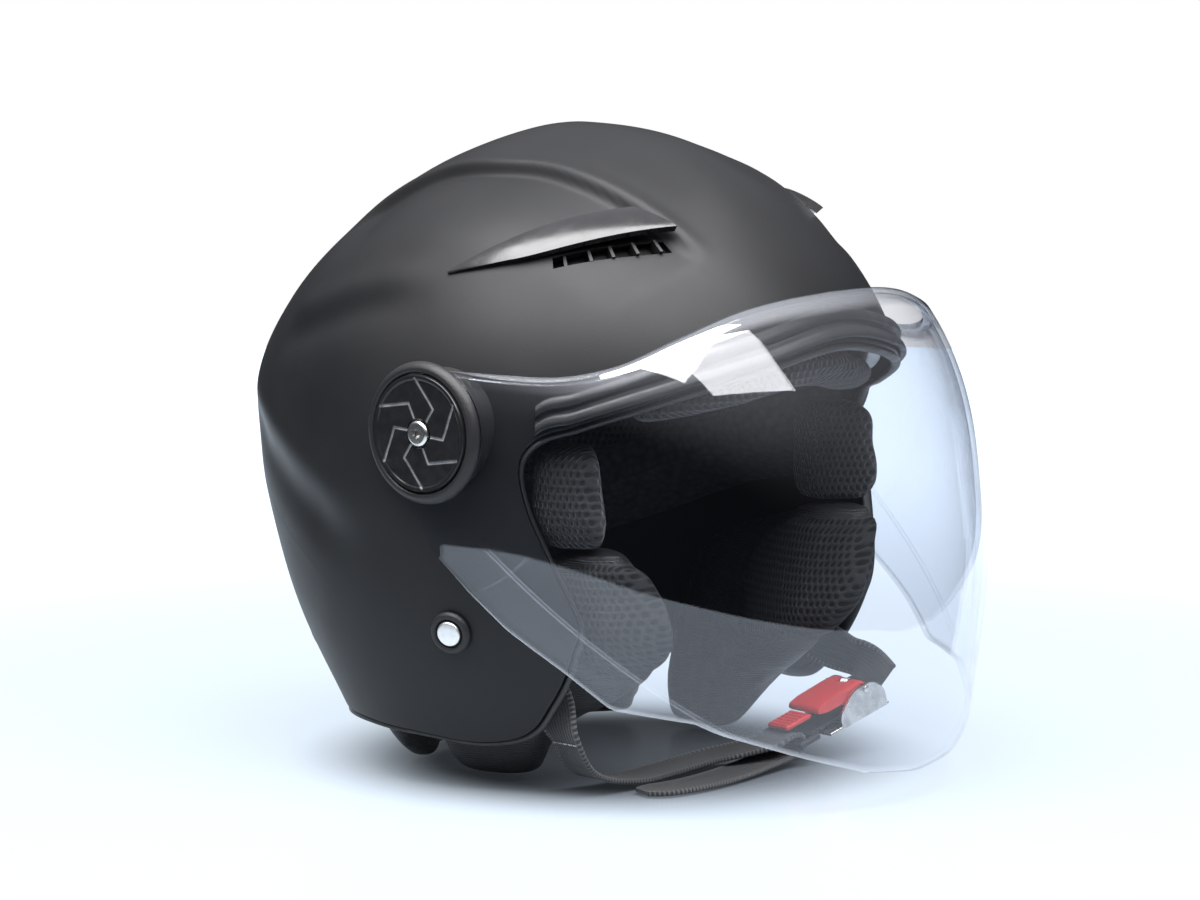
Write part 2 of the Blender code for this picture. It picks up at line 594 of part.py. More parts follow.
def pivot_stack(side, label, finish):
    """The pieces that carry one ear of the visor; returns the bush, which turns with it."""
    place = side_frame(side)
    boss_top = EAR_OUTSIDE + GAP
    seat_top = EAR_INSIDE - GAP
    base = [(SCREW_BORE, PIVOT_BASE_INSIDE), (PIVOT_BASE_RADIUS, PIVOT_BASE_INSIDE),
            (PIVOT_BASE_RADIUS, PIVOT_BASE_OUTSIDE), (PIVOT_SEAT_RADIUS, PIVOT_BASE_OUTSIDE),
            (PIVOT_SEAT_RADIUS, seat_top), (PIVOT_BOSS_RADIUS, seat_top),
            (PIVOT_BOSS_RADIUS, boss_top), (SCREW_BORE, boss_top)]
    turned("pivot_base_" + label, base, finish["satin"], place, 24)
    bush_outline = ring_outline(PIVOT_BOSS_RADIUS + GAP, EAR_HOLE - GAP, EAR_INSIDE, EAR_OUTSIDE)
    bush = turned("visor_bush_" + label, bush_outline, finish["nylon"], place, 24)
    washer_low = boss_top + GAP
    cap_low = washer_low + WASHER_THICKNESS + GAP
    turned("pivot_washer_" + label, ring_outline(SCREW_BORE, 9.5, washer_low, cap_low - GAP),
           finish["steel"], place, 20)
    ring_low, ring_high, ring_slope = EAR_OUTSIDE + 0.5, PIVOT_CAP_OUTSIDE - 0.8, 1.6
    ring = [(PIVOT_CAP_RADIUS + GAP, ring_low), (PIVOT_RING_RADIUS, ring_low),
            (PIVOT_RING_RADIUS, ring_high - ring_slope), (PIVOT_RING_RADIUS - ring_slope, ring_high),
            (PIVOT_CAP_RADIUS + GAP, ring_high)]
    turned("pivot_ring_" + label, ring, finish["satin"], place, 30)
    cap = [(SCREW_BORE, cap_low), (PIVOT_CAP_RADIUS, cap_low),
           (PIVOT_CAP_RADIUS, PIVOT_CAP_OUTSIDE - 1.2), (PIVOT_CAP_RADIUS - 1.4, PIVOT_CAP_OUTSIDE),
           (6.0, PIVOT_CAP_OUTSIDE), (5.6, PIVOT_CAP_OUTSIDE - 2), (SCREW_BORE, PIVOT_CAP_OUTSIDE - 2)]
    turned("pivot_cap_" + label, cap, finish["gloss"], place, 28)
    head_low = PIVOT_CAP_OUTSIDE - 2 + GAP
    screw = turned("pivot_screw_" + label,
                   [(0, PIVOT_BASE_INSIDE + 1), (SCREW_RADIUS, PIVOT_BASE_INSIDE + 1),
                    (SCREW_RADIUS, head_low), (SCREW_HEAD_RADIUS, head_low),
                    (SCREW_HEAD_RADIUS, head_low + 1.8), (SCREW_HEAD_RADIUS - 0.6, head_low + 2.4),
                    (0, head_low + 2.4)],
                   finish["steel"], place, 18)
    socket = [(0, head_low + 0.6), (1.7, head_low + 0.6), (1.7, head_low + 4), (0, head_low + 4)]
    cut(screw, turned("screw_socket_" + label, socket, finish["steel"], place, 6))
    return bush


# --- vents -------------------------------------------------------------------------------------
def smooth_path(points, at):
    """A Catmull-Rom curve through the points, read at fractions of its length in steps."""
    points = np.asarray(points, float)
    ends = np.vstack([2 * points[0] - points[1], points, 2 * points[-1] - points[-2]])
    place = np.asarray(at, float) * (len(points) - 1)
    i = np.clip(place.astype(int), 0, len(points) - 2)
    t = (place - i)[..., None]
    a, b, c, d = ends[i], ends[i + 1], ends[i + 2], ends[i + 3]
    return 0.5 * (2 * b + (c - a) * t + (2 * a - 5 * b + 4 * c - d) * t ** 2
                  + (3 * b - a - 3 * c + d) * t ** 3)


def surface_patch(name, upper, lower, side, inner, outer, finish, columns, rows):
    """A plate on the shell between two edges; `inner` and `outer` give its insets at (s, t)."""
    along = np.linspace(0, 1, columns + 1)
    mirror = np.array([-side, 1.0, 1.0])
    top, bottom = smooth_path(upper, along) * mirror, smooth_path(lower, along) * mirror
    sections = []
    for s, a, b in zip(along, top, bottom):
        across = np.linspace(0, 1, rows + 1)
        directions = a + (b - a) * across[:, None]
        outside = on_shell(directions, np.array([outer(s, t) for t in across]))
        inside = on_shell(directions, np.array([inner(s, t) for t in across]))
        sections.append(np.vstack([outside, inside[::-1]]))
    return loft(name, sections, finish)


def vents(side, label, finish):
    def blade_outer(s, t):
        return -(1.6 + 3.4 * s * t)

    def blade_inner(s, t):
        return -(0.4 + 3.0 * s * t)

    surface_patch("vent_blade_" + label, BLADE_UPPER, BLADE_LOWER, side, blade_inner, blade_outer,
                  finish["gloss"], 10, 3)
    def comb(s, t):
        return 0.2 if int(s * VENT_RIBS + 0.5) % 2 else 2.2

    inwards = np.array(SLOT_UPPER, float) * 0.94 + np.array(SLOT_LOWER, float) * 0.06
    lower = np.array(SLOT_LOWER, float) * 0.94 + np.array(SLOT_UPPER, float) * 0.06
    surface_patch("vent_grille_" + label, smooth_path(inwards, np.linspace(0.02, 0.98, 5)),
                  smooth_path(lower, np.linspace(0.02, 0.98, 5)), side, lambda s, t: 3.6, comb,
                  finish["satin"], VENT_RIBS, 1)


# --- rivets ------------------------------------------------------------------------------------
def rivets(finish):
    for place in RIVETS:
        frame = rivet_frame(place)
        washer = [(RIVET_SHANK_RADIUS + GAP, 0.8), (RIVET_WASHER_RADIUS, 0.8), (RIVET_WASHER_RADIUS, 1.6),
                  (RIVET_WASHER_RADIUS - 1.2, 2.6), (RIVET_CAP_RADIUS + 1.0, 2.6),
                  (RIVET_CAP_RADIUS + 0.6, 1.6), (RIVET_SHANK_RADIUS + GAP, 1.6)]
        turned("rivet_washer_" + place, washer, finish["rubber"], frame, 18)
        rivet = [(0, -5.6), (RIVET_SHANK_RADIUS, -5.6), (RIVET_SHANK_RADIUS, 2.0), (RIVET_CAP_RADIUS, 2.0),
                 (RIVET_CAP_RADIUS, 2.8), (RIVET_CAP_RADIUS - 0.6, 3.4), (0, 3.4)]
        turned("rivet_" + place, rivet, finish["aluminium"], frame, 14)
    for side, label in ((-1, "right"), (1, "left")):
        frame = rivet_frame("front_" + label)
        plate = ring_outline(RIVET_SHANK_RADIUS + GAP, 9.0, -7.2, -6.0)
        turned("strap_anchor_" + label, plate, finish["steel"], frame, 16)


# --- straps and buckle -------------------------------------------------------------------------
def band(name, route, across, width, thickness, finish, steps, ends=1.0):
    """A flat strap along a smooth route; `across` gives its width direction at each point."""
    at = np.linspace(0, 1, steps)
    centre = smooth_path(route, at)
    ahead = np.gradient(centre, axis=0)
    ahead /= np.linalg.norm(ahead, axis=-1, keepdims=True)
    wide = smooth_path(across, at)
    wide -= ahead * np.sum(wide * ahead, -1, keepdims=True)
    wide /= np.linalg.norm(wide, axis=-1, keepdims=True)
    face = np.cross(ahead, wide)
    half = np.full(steps, width / 2)
    half[-1] *= ends
    sections = np.stack([centre + a * half[:, None] * wide + b * thickness / 2 * face
                         for a, b in ((-1, -1), (1, -1), (1, 1), (-1, 1))], 1)
    return loft(name, sections, finish)


def buckle_axes():
    u = BUCKLE_U / np.linalg.norm(BUCKLE_U)
    w = np.cross([0.0, 0.0, 1.0], u)
    w /= np.linalg.norm(w)
    n = np.cross(u, w)
    rotation = Matrix([Vector(u), Vector(w), Vector(n)]).transposed().to_4x4()
    return Matrix.Translation(Vector(BUCKLE_ORIGIN) * METRES) @ rotation


def straps(finish):
    place = np.array(buckle_axes())
    origin, u, w, n = place[:3, 3] / METRES, place[:3, 0], place[:3, 1], place[:3, 2]
    turn = [origin + along * u + rise * n for along, rise in TONGUE_TURN]
    right_run = [*STRAP_RIGHT, *turn, *STRAP_TAIL]
    runs = ((-1, "right", right_run, 72, 0.6), (1, "left", STRAP_LEFT, 20, 1.0))
    for side, label, free, steps, tip in runs:
        drop = [wall_point(side * bearing, height, inset) for bearing, height, inset in STRAP_DROP]
        route = np.vstack([drop, free])
        across = np.tile(w, (len(route), 1))
        for i, (bearing, height, _) in enumerate(STRAP_DROP):
            across[i] = np.cross(route[i + 1] - route[i], wall_normal(side * bearing, height))
            across[i] /= np.linalg.norm(across[i]) * np.sign(across[i, 1])
        band("strap_" + label, route, across, STRAP_WIDTH, STRAP_THICKNESS, finish["webbing"],
             steps, tip)


def buckle(finish):
    place = buckle_axes()
    pin_frame = place @ Matrix.Translation(Vector((LEVER_PIN[0], 0, LEVER_PIN[1])) * METRES)
    pin_frame = pin_frame @ Matrix.Rotation(radians(-90), 4, "X")
    bore = [(0, -16), (LEVER_BORE, -16), (LEVER_BORE, 16), (0, 16)]
    plate = box("buckle_frame", (34, 22, 1.4), (2, 0, -3.2), finish["steel"], place)
    for edge, label in ((-1, "front"), (1, "rear")):
        wall = box("buckle_wall_" + label, (26, 1.4, 13), (5, edge * 10.3, 2.6), finish["steel"], place)
        join(plate, wall)
    cut(plate, turned("buckle_frame_bore", bore, finish["steel"], pin_frame, 14))
    box("buckle_body", (6.5, 18.4, 8), (15.9, 0, 2.2), finish["satin"], place, 1.0)
    pin = [(0, -12.2), (LEVER_PIN_RADIUS, -12.2), (LEVER_PIN_RADIUS, 12.2), (0, 12.2)]
    turned("buckle_pin", pin, finish["steel"], pin_frame, 14)
    lever = box("buckle_lever", (29, 17.6, 6), (-3.4, 0, 7.8), finish["red"], place, 1.2)
    cut(lever, turned("lever_bore", bore, finish["red"], pin_frame, 14))
    cut(lever, box("spring_room", (8, 6, 14), (8, 0, 7.6), finish["red"], place))
    tab = box("pull_tab", (14, 12, 2.2), (-25.6, 0, 6.4), finish["red"], place, 0.6)
    hang_on(empty_at("lever_pivot", pin_frame), (lever, tab))
    turned("lever_spring", ring_outline(1.9, 3.3, -2.4, 2.4), finish["steel"], pin_frame, 14)
    tongue = box("buckle_tongue", (26, 12, 1.8), (-9, 0, -0.6), finish["satin"], place)
    join(tongue, box("tongue_loop", (11.5, 24, 2.6), (-26.5, 0, -0.6), finish["satin"], place))
    cut(tongue, box("tongue_slot", (5.8, 20.0, 8), (-27.1, 0, -0.6), finish["satin"], place))


def main():
    clear_scene()
    finish = finishes()
    outer_shell(finish)
    foam_liner(finish)
    comfort_liner(finish)
    edge_trim(finish)
    brow_parts(finish)
    pads(finish)
    swinging = [visor(finish)]
    for side, label in ((-1, "right"), (1, "left")):
        swinging.append(pivot_stack(side, label, finish))
        vents(side, label, finish)
    hang_on(empty_at("visor_pivot", side_frame(1)), swinging)
    rivets(finish)
    straps(finish)
    buckle(finish)


main()
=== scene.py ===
"""The looks of an open face motorcycle helmet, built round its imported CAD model.

The wearer looks along -Y and +Z is up; the wearer's right side is -X. Shapes are worked out in
millimetres and turned into metres when a mesh is made. The shell's surface has the same formulas
as the CAD model, at a much finer spacing, with its creases and steps added.
"""

from math import cos, pi, radians, sin, sqrt

import bmesh
import bpy
import numpy as np
from mathutils import Matrix, Vector

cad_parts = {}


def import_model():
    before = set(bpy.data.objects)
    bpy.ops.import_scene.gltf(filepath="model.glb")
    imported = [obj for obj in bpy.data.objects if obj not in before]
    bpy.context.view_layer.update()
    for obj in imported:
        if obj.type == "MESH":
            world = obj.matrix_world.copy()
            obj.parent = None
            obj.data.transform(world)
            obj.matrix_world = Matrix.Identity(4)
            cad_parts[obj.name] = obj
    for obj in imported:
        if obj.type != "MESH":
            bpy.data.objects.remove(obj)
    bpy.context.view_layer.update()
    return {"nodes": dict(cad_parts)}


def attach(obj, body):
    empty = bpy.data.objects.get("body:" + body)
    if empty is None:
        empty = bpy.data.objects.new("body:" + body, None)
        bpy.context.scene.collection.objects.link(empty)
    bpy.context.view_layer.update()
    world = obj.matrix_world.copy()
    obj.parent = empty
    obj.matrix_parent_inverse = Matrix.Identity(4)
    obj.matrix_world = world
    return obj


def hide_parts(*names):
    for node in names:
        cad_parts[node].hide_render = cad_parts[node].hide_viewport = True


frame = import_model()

METRES = 0.001
SIDES = ((-1, "right"), (1, "left"))

# --- the helmet's driving sizes, millimetres, as in the CAD model --------------------------------
SHELL_CENTRE = np.array([0.0, 20.5, 135.0])
SHELL_WALL = 4.0
PAD_CLEAR_BEARING = 53.0
PAD_SWELL_SPAN = 8.0
FLOOR = -SHELL_CENTRE[2]

# Shell profiles from the centre, (distance outwards, height), from the crown down.
FRONT_PROFILE = [(0, 123), (52, 117), (98, 92), (128, 55), (141, 16), (143, -20), (134, -60),
                 (115, -105), (92, -140)]
REAR_PROFILE = [(0, 123), (45, 111), (88, 84), (121, 51), (136, 22), (133, -14), (117, -56),
                (90, -96), (62, -130)]
SIDE_PROFILE = [(0, 123), (52, 109), (91, 78), (115, 40), (123, 8), (123, -35), (118, -78),
                (106, -112), (92, -145)]

# The shell's edge in side view, (y, z) from the centre: brow, face opening, lobe, nape.
SHELL_EDGE = [(-134, 44), (-125, 36), (-103, 25.5), (-80, 16), (-67, 10.5), (-61.5, 0), (-64, -15),
              (-71, -35), (-79, -60), (-76, -74), (-63, -97), (-50, -110), (-34, -113.6),
              (0, -111.5), (30, -110), (62, -111), (84, -112)]
LINER_EDGE = [(-133, 47), (-124, 39), (-102, 29), (-79, 20), (-64, 12), (-57, 0), (-55, -14),
              (-50, -30), (-30, -36), (0, -42), (40, -58), (70, -70), (100, -76)]

PIVOT_Y, PIVOT_Z = -27.0, 12.0
VISOR_WALL = 2.2
VISOR_HALF_WIDTH = [(-134, 108), (-92, 118), (-60, 123), (-20, 125.6), (36, 125.6), (63, 113)]
VISOR_FRONT = [(-134, -171), (-100, -174), (-49, -178), (-25, -175), (16, -163), (50, -143),
               (63, -132)]
VISOR_TOP = [(0, 62), (0.15, 61), (0.3, 57.5), (0.45, 50), (0.62, 39), (0.75, 35), (1.0, 37)]
VISOR_BOTTOM = [(0, -123), (0.15, -120), (0.3, -112), (0.483, -101), (0.532, -96.5), (0.69, -92),
                (0.776, -78), (0.88, -63), (0.952, -49), (1.0, -38)]
VISOR_POWER = 2.15
VISOR_FLAT = 6.0
EAR_RADIUS = 24.0
EAR_OUTSIDE = 125.6
EAR_INSIDE = 123.4
GAP = 0.4
EAR_HOLE = 10.6
PIVOT_BASE_INSIDE, PIVOT_BASE_OUTSIDE, PIVOT_BASE_RADIUS = 109.0, 121.4, 24.5
PIVOT_SEAT_RADIUS, PIVOT_BOSS_RADIUS, SCREW_BORE = 12.5, 7.0, 2.9
PIVOT_RING_RADIUS = 28.0
PIVOT_CAP_RADIUS = 23.2
PIVOT_CAP_OUTSIDE = 131.2

RIVETS = {"front_right": (-74.8, -67.5), "front_left": (74.8, -67.5),
          "rear_right": (-141.0, -88.0), "rear_left": (141.0, -88.0)}

STRAP_WIDTH = 18.0
STRAP_THICKNESS = 2.2
STRAP_RIGHT = [(-86, -43, 25), (-75, -44, 9.5), (-52, -45.5, 3.4), (-28, -46.5, 3.4), (-8, -51, 5.6),
               (5, -59, 8)]
STRAP_TAIL = [(14, -66.6, 3.4), (0, -67.4, 2.4), (-16, -68.8, 1.9), (-34, -69.4, 1.8),
              (-50, -67.6, 1.8), (-62, -63, 1.8)]
STRAP_LEFT = [(86, -60, 34), (79.5, -76.9, 27.4)]
STRAP_DROP = [(76.5, -60, 8.9), (70.5, -72, 9.0), (63.5, -84, 9.8), (57, -94, 11.2)]

BUCKLE_ORIGIN = np.array([54.0, -72.5, 19.0])
BUCKLE_U = np.array([0.94, -0.17, 0.29])
LEVER_PIN = (8.0, 7.6)
TONGUE_TURN = [(-40, 3.2), (-34.5, 3.4), (-30.8, 3.3), (-27.9, 2.0), (-26.9, -0.6), (-27.9, -3.2),
               (-30.8, -4.5), (-35, -4.8)]

BLADE_UPPER = [(-96.5, -13, 71), (-84, -29.5, 82), (-69, -47.5, 91), (-49, -68, 96)]
BLADE_LOWER = [(-96, -14, 70), (-90, -33, 74.5), (-80.5, -51.5, 79), (-46, -86.5, 87.5)]
SLOT_UPPER = [(-79.5, -52.5, 77.5), (-64, -69, 82), (-49, -84, 85)]
SLOT_LOWER = [(-82, -55, 73.5), (-66, -73, 78), (-50, -89.5, 81)]

# Lines moulded into the shell, right side, from the centre.
ARC_STEP = [(-57, 84, 78), (-53, 58, 96), (-50.4, 30, 105), (-51, 3, 109), (-49, -21, 109),
            (-49.5, -42, 106), (-49, -62, 99), (-46, -90, 84), (-44, -100, 74)]
LOWER_CREASE = [(-86, 84, 46), (-96, 60, 53), (-99, 36, 60.5), (-99.6, 14, 66), (-96, -13, 71)]
REAR_CREASE = [(-70, 112, 20), (-93, 89, 12), (-108, 66, 1.5), (-118, 41, -10), (-122, 24, -18),
               (-123, -2, -30)]
RIDGE_CREASE = [(-10, 30, 122), (-7, -2, 123), (-6, -34, 121), (-8, -73, 108), (-17, -91, 96),
                (-26, -109, 76)]


# --- curves and the shell's surface --------------------------------------------------------------
def curve_through(at, places, values, start_slope=None):
    """A smooth curve through (places, values), read at `at`."""
    places, values = np.asarray(places, float), np.asarray(values, float)
    step = np.diff(places)
    slope = np.diff(values) / step
    tangent = np.concatenate([[slope[0]], slope, [slope[-1]]])
    tangent = (tangent[:-1] + tangent[1:]) / 2
    if start_slope is not None:
        tangent[0] = start_slope
    i = np.clip(np.searchsorted(places, at) - 1, 0, len(places) - 2)
    t = (np.clip(at, places[0], places[-1]) - places[i]) / step[i]
    return ((1 + 2 * t) * (1 - t) ** 2 * values[i] + t * (1 - t) ** 2 * step[i] * tangent[i]
            + t * t * (3 - 2 * t) * values[i + 1] + t * t * (t - 1) * step[i] * tangent[i + 1])


def smooth_path(points, at):
    """A Catmull-Rom curve through the points, read at fractions of its length in steps."""
    points = np.asarray(points, float)
    ends = np.vstack([2 * points[0] - points[1], points, 2 * points[-1] - points[-2]])
    place = np.asarray(at, float) * (len(points) - 1)
    i = np.clip(place.astype(int), 0, len(points) - 2)
    t = (place - i)[..., None]
    a, b, c, d = ends[i], ends[i + 1], ends[i + 2], ends[i + 3]
    return 0.5 * (2 * b + (c - a) * t + (2 * a - 5 * b + 4 * c - d) * t ** 2
                  + (3 * b - a - 3 * c + d) * t ** 3)


def smoothstep(low, high, value):
    t = np.clip((np.asarray(value, float) - low) / (high - low), 0, 1)
    return t * t * (3 - 2 * t)


def profile_radius(tilt, profile):
    outwards, height = np.array(profile, float).T
    return curve_through(tilt, np.arctan2(outwards, height), np.hypot(outwards, height), 0.0)


def shell_radius(points):
    """The shell's radius in the direction of each point from the centre."""
    x, y, z = np.moveaxis(np.asarray(points, float), -1, 0)
    flat = np.hypot(x, y) + 1e-9
    tilt = np.arctan2(flat, z)
    lengthwise = np.where(y < 0, profile_radius(tilt, FRONT_PROFILE),
                          profile_radius(tilt, REAR_PROFILE))
    sideways = profile_radius(tilt, SIDE_PROFILE)
    return 1 / np.sqrt((y / flat / lengthwise) ** 2 + (x / flat / sideways) ** 2)


def on_shell(directions, inset=0.0):
    """Points on the shell in these directions, moved in towards the centre by `inset`."""
    directions = np.asarray(directions, float)
    unit = directions / np.linalg.norm(directions, axis=-1, keepdims=True)
    return SHELL_CENTRE + unit * (shell_radius(unit) - inset)[..., None]


def bisect(inside, limit):
    """The largest value that `inside` holds for, element by element."""
    low, high = np.zeros_like(limit), np.array(limit, float)
    for _ in range(40):
        middle = (low + high) / 2
        held = inside(middle)
        low, high = np.where(held, middle, low), np.where(held, high, middle)
    return low


def side_direction(y, z):
    """The direction from the centre to the shell point that has this y and z, at +X."""
    y, z = np.asarray(y, float), np.asarray(z, float)

    def inside(x):
        points = np.stack([x, y, z], -1)
        return np.linalg.norm(points, axis=-1) < shell_radius(points)

    return np.stack([bisect(inside, np.full_like(y, 200.0)), y, z], -1)


def wall_point(bearing, height, inset):
    """A point of the shell wall at a bearing from the front (degrees) and a height, moved level
    towards the middle by `inset`."""
    bearing, height, inset = np.broadcast_arrays(np.radians(np.asarray(bearing, float)),
                                                 np.asarray(height, float), np.asarray(inset, float))

    def at(flat):
        return np.stack([flat * np.sin(bearing), -flat * np.cos(bearing), height], -1)

    def inside(flat):
        points = at(flat)
        return np.linalg.norm(points, axis=-1) < shell_radius(points)

    return SHELL_CENTRE + at(bisect(inside, np.full(bearing.shape, 220.0)) - inset)


def wall_normal(bearing, height):
    side = wall_point([bearing - 0.5, bearing + 0.5], height, 0.0)
    rise = wall_point(bearing, [height - 0.5, height + 0.5], 0.0)
    normal = np.cross(side[1] - side[0], rise[1] - rise[0])
    normal /= np.linalg.norm(normal)
    outwards = wall_point(bearing, height, 0.0) - SHELL_CENTRE
    return normal if normal @ outwards > 0 else -normal


POLE = np.array([0.0, 1.0, 1.0]) / np.sqrt(2)
FORWARD = np.array([0.0, -1.0, 1.0]) / np.sqrt(2)


def edge_angles(edge):
    """Turn round the pole, from the brow to the nape, and tilt away from it, for an edge."""
    outline = np.array(edge, float)
    directions = side_direction(outline[:, 0], outline[:, 1])
    turn = np.arctan2(directions[:, 0], directions @ FORWARD)
    tilt = np.arccos(directions @ POLE / np.linalg.norm(directions, axis=-1))
    turn[0], turn[-1] = 0.0, pi
    return turn, tilt


def pole_direction(turn, tilt):
    across = np.sin(turn)[..., None] * np.array([1.0, 0, 0]) + np.cos(turn)[..., None] * FORWARD
    return np.sin(tilt)[..., None] * across + np.cos(tilt)[..., None] * POLE


def even_turns(edge, columns):
    """Turns round the pole that space `columns` points evenly along the edge."""
    turn, tilt = edge_angles(edge)
    fine = np.linspace(0, pi, 1200)
    points = on_shell(pole_direction(fine, curve_through(fine, turn, tilt)))
    length = np.concatenate([[0], np.cumsum(np.linalg.norm(np.diff(points, axis=0), axis=-1))])
    half = np.interp(np.linspace(0, length[-1], columns // 2 + 1), length, fine)
    return np.concatenate([half, -half[-2:0:-1]])


def brow_height(bearing):
    """The height of the shell's brow edge at a bearing, up to the corner of the face opening."""
    outline = np.array(SHELL_EDGE[:6], float)
    directions = side_direction(outline[:, 0], outline[:, 1])
    bearings = np.degrees(np.arctan2(directions[:, 0], -directions[:, 1]))
    bearings[0] = 0.0
    return curve_through(np.abs(bearing), bearings, outline[:, 1], 0.0)


def frame_at(origin, axis, across=(0.0, 1.0, 0.0)):
    """A matrix in metres with its Z along `axis` and its Y near `across`."""
    z = Vector(axis).normalized()
    x = Vector(across).cross(z).normalized()
    y = z.cross(x)
    rotation = Matrix((x, y, z)).transposed().to_4x4()
    return Matrix.Translation(Vector(origin) * METRES) @ rotation


def side_frame(side, height=0.0):
    """Axes on the visor's pivot line, Z pointing out of the helmet on this side (+1 left)."""
    centre = SHELL_CENTRE + np.array([side * height, PIVOT_Y, PIVOT_Z])
    return frame_at(centre, (side, 0.0, 0.0))


def rivet_frame(place):
    bearing, height = RIVETS[place]
    return frame_at(wall_point(bearing, height, 0.0), wall_normal(bearing, height), (0, 0, 1))


def buckle_axes():
    u = BUCKLE_U / np.linalg.norm(BUCKLE_U)
    w = np.cross([0.0, 0.0, 1.0], u)
    w /= np.linalg.norm(w)
    n = np.cross(u, w)
    rotation = Matrix([Vector(u), Vector(w), Vector(n)]).transposed().to_4x4()
    return Matrix.Translation(Vector(BUCKLE_ORIGIN) * METRES) @ rotation


# --- meshes --------------------------------------------------------------------------------------
def mesh_object(name, points, faces, finish, smooth_angle=40.0, place=None):
    """An object from points in millimetres, with its faces pointing outwards."""
    mesh = bpy.data.meshes.new(name)
    mesh.from_pydata([tuple(p) for p in np.asarray(points, float) * METRES], [], faces)
    bm = bmesh.new()
    bm.from_mesh(mesh)
    bmesh.ops.remove_doubles(bm, verts=bm.verts, dist=1e-7)
    bmesh.ops.recalc_face_normals(bm, faces=bm.faces)
    bm.to_mesh(mesh)
    bm.free()
    mesh.shade_smooth()
    mesh.set_sharp_from_angle(angle=radians(smooth_angle))
    made = bpy.data.objects.new(name, mesh)
    bpy.context.scene.collection.objects.link(made)
    mesh.materials.append(finish)
    if place is not None:
        made.matrix_world = place
    return made


def grid_faces(rows, columns, wrap_rows=False, wrap_columns=True):
    """Quads over a grid of points that is stored row by row."""
    faces = []
    for i in range(rows if wrap_rows else rows - 1):
        here, there = i * columns, ((i + 1) % rows) * columns
        for j in range(columns if wrap_columns else columns - 1):
            k = (j + 1) % columns
            faces.append((here + j, here + k, there + k, there + j))
    return faces


def loft(name, sections, finish, ring=False, smooth_angle=40.0, place=None):
    """A solid through closed section loops; a ring joins its last section to its first."""
    sections = np.asarray(sections, float)
    count, size = sections.shape[:2]
    faces = grid_faces(count, size, wrap_rows=ring)
    if not ring:
        faces.append(tuple(range(size)))
        faces.append(tuple((count - 1) * size + j for j in range(size)))
    return mesh_object(name, sections.reshape(-1, 3), faces, finish, smooth_angle, place)


ON_AXIS = 1e-6


def rounded(outline, radius, steps=4, on_axis=0.0):
    """A closed outline of (a, b) points with its corners rounded, but not those nearer the axis
    a = 0 than `on_axis`."""
    outline = np.asarray(outline, float)
    made = []
    for i, corner in enumerate(outline):
        if corner[0] < on_axis and on_axis:
            made.append(corner)
            continue
        before, after = outline[i - 1] - corner, outline[(i + 1) % len(outline)] - corner
        reach = min(radius, np.linalg.norm(before) * 0.45, np.linalg.norm(after) * 0.45)
        start = corner + before / np.linalg.norm(before) * reach
        end = corner + after / np.linalg.norm(after) * reach
        for t in np.linspace(0, 1, steps):
            made.append((1 - t) ** 2 * start + 2 * t * (1 - t) * corner + t * t * end)
    return np.array(made)


def turned(name, profile, finish, place, segments=96, radius=0.0, smooth_angle=40.0):
    """A closed (radius, height) outline turned about the Z axis of `place`."""
    profile = np.asarray(profile, float)
    if radius:
        profile = rounded(profile, radius, on_axis=ON_AXIS)
    angles = np.linspace(0, 2 * pi, segments, endpoint=False)
    sections = [[(r * cos(a), r * sin(a), h) for r, h in profile] for a in angles]
    return loft(name, sections, finish, ring=True, smooth_angle=smooth_angle, place=place)


def block(name, size, centre, finish, place, bevel=1.0, segments=4):
    """A block with rounded edges, given in the millimetre axes of `place`."""
    half = np.array(size) / 2
    corners = [(x, y, z) for x in (-1, 1) for y in (-1, 1) for z in (-1, 1)]
    points = [np.array(centre) + half * c for c in corners]
    faces = [(0, 1, 3, 2), (4, 6, 7, 5), (0, 4, 5, 1), (2, 3, 7, 6), (0, 2, 6, 4), (1, 5, 7, 3)]
    made = mesh_object(name, points, faces, finish, place=place)
    edge = made.modifiers.new("rounded edges", "BEVEL")
    edge.width = bevel * METRES
    edge.segments = segments
    return made


def evaluated_copy(made):
    graph = bpy.context.evaluated_depsgraph_get()
    return bpy.data.meshes.new_from_object(made.evaluated_get(graph), depsgraph=graph)


def baked(made):
    """Applies the object's modifiers."""
    mesh = evaluated_copy(made)
    made.modifiers.clear()
    made.data = mesh
    return made


def combine(target, cutters, operation="DIFFERENCE"):
    """Cuts solids out of the target, or unites them with it, and applies the result."""
    for cutter in cutters:
        change = target.modifiers.new("with " + cutter.name, "BOOLEAN")
        change.operation = operation
        change.solver = "EXACT"
        change.object = cutter
    bpy.context.view_layer.update()
    baked(target)
    for cutter in cutters:
        bpy.data.objects.remove(cutter)
    target.data.shade_smooth()
    target.data.set_sharp_from_angle(angle=radians(40))
    return target


def lay_out(made, values, name="cloth"):
    """Stores millimetre pattern coordinates on the points, for the material to read."""
    field = made.data.attributes.new(name, "FLOAT_VECTOR", "POINT")
    field.data.foreach_set("vector", np.asarray(values, np.float32).reshape(-1))
    return made


def mark(made, values, name):
    """Stores one number for each point, for the material to read."""
    field = made.data.attributes.new(name, "FLOAT", "POINT")
    field.data.foreach_set("value", np.asarray(values, np.float32).reshape(-1))
    return made


def points_of(made):
    """The object's points in millimetres, in the helmet's frame."""
    count = len(made.data.vertices)
    points = np.zeros(count * 3, np.float32)
    made.data.vertices.foreach_get("co", points)
    world = np.array(made.matrix_world)
    return (points.reshape(-1, 3) @ world[:3, :3].T + world[:3, 3]) / METRES


def put_points(made, points):
    """Moves the object's points to these millimetre places, for an object that has no placement."""
    made.data.vertices.foreach_set("co", (points * METRES).astype(np.float32).reshape(-1))
    made.data.update()
    return made


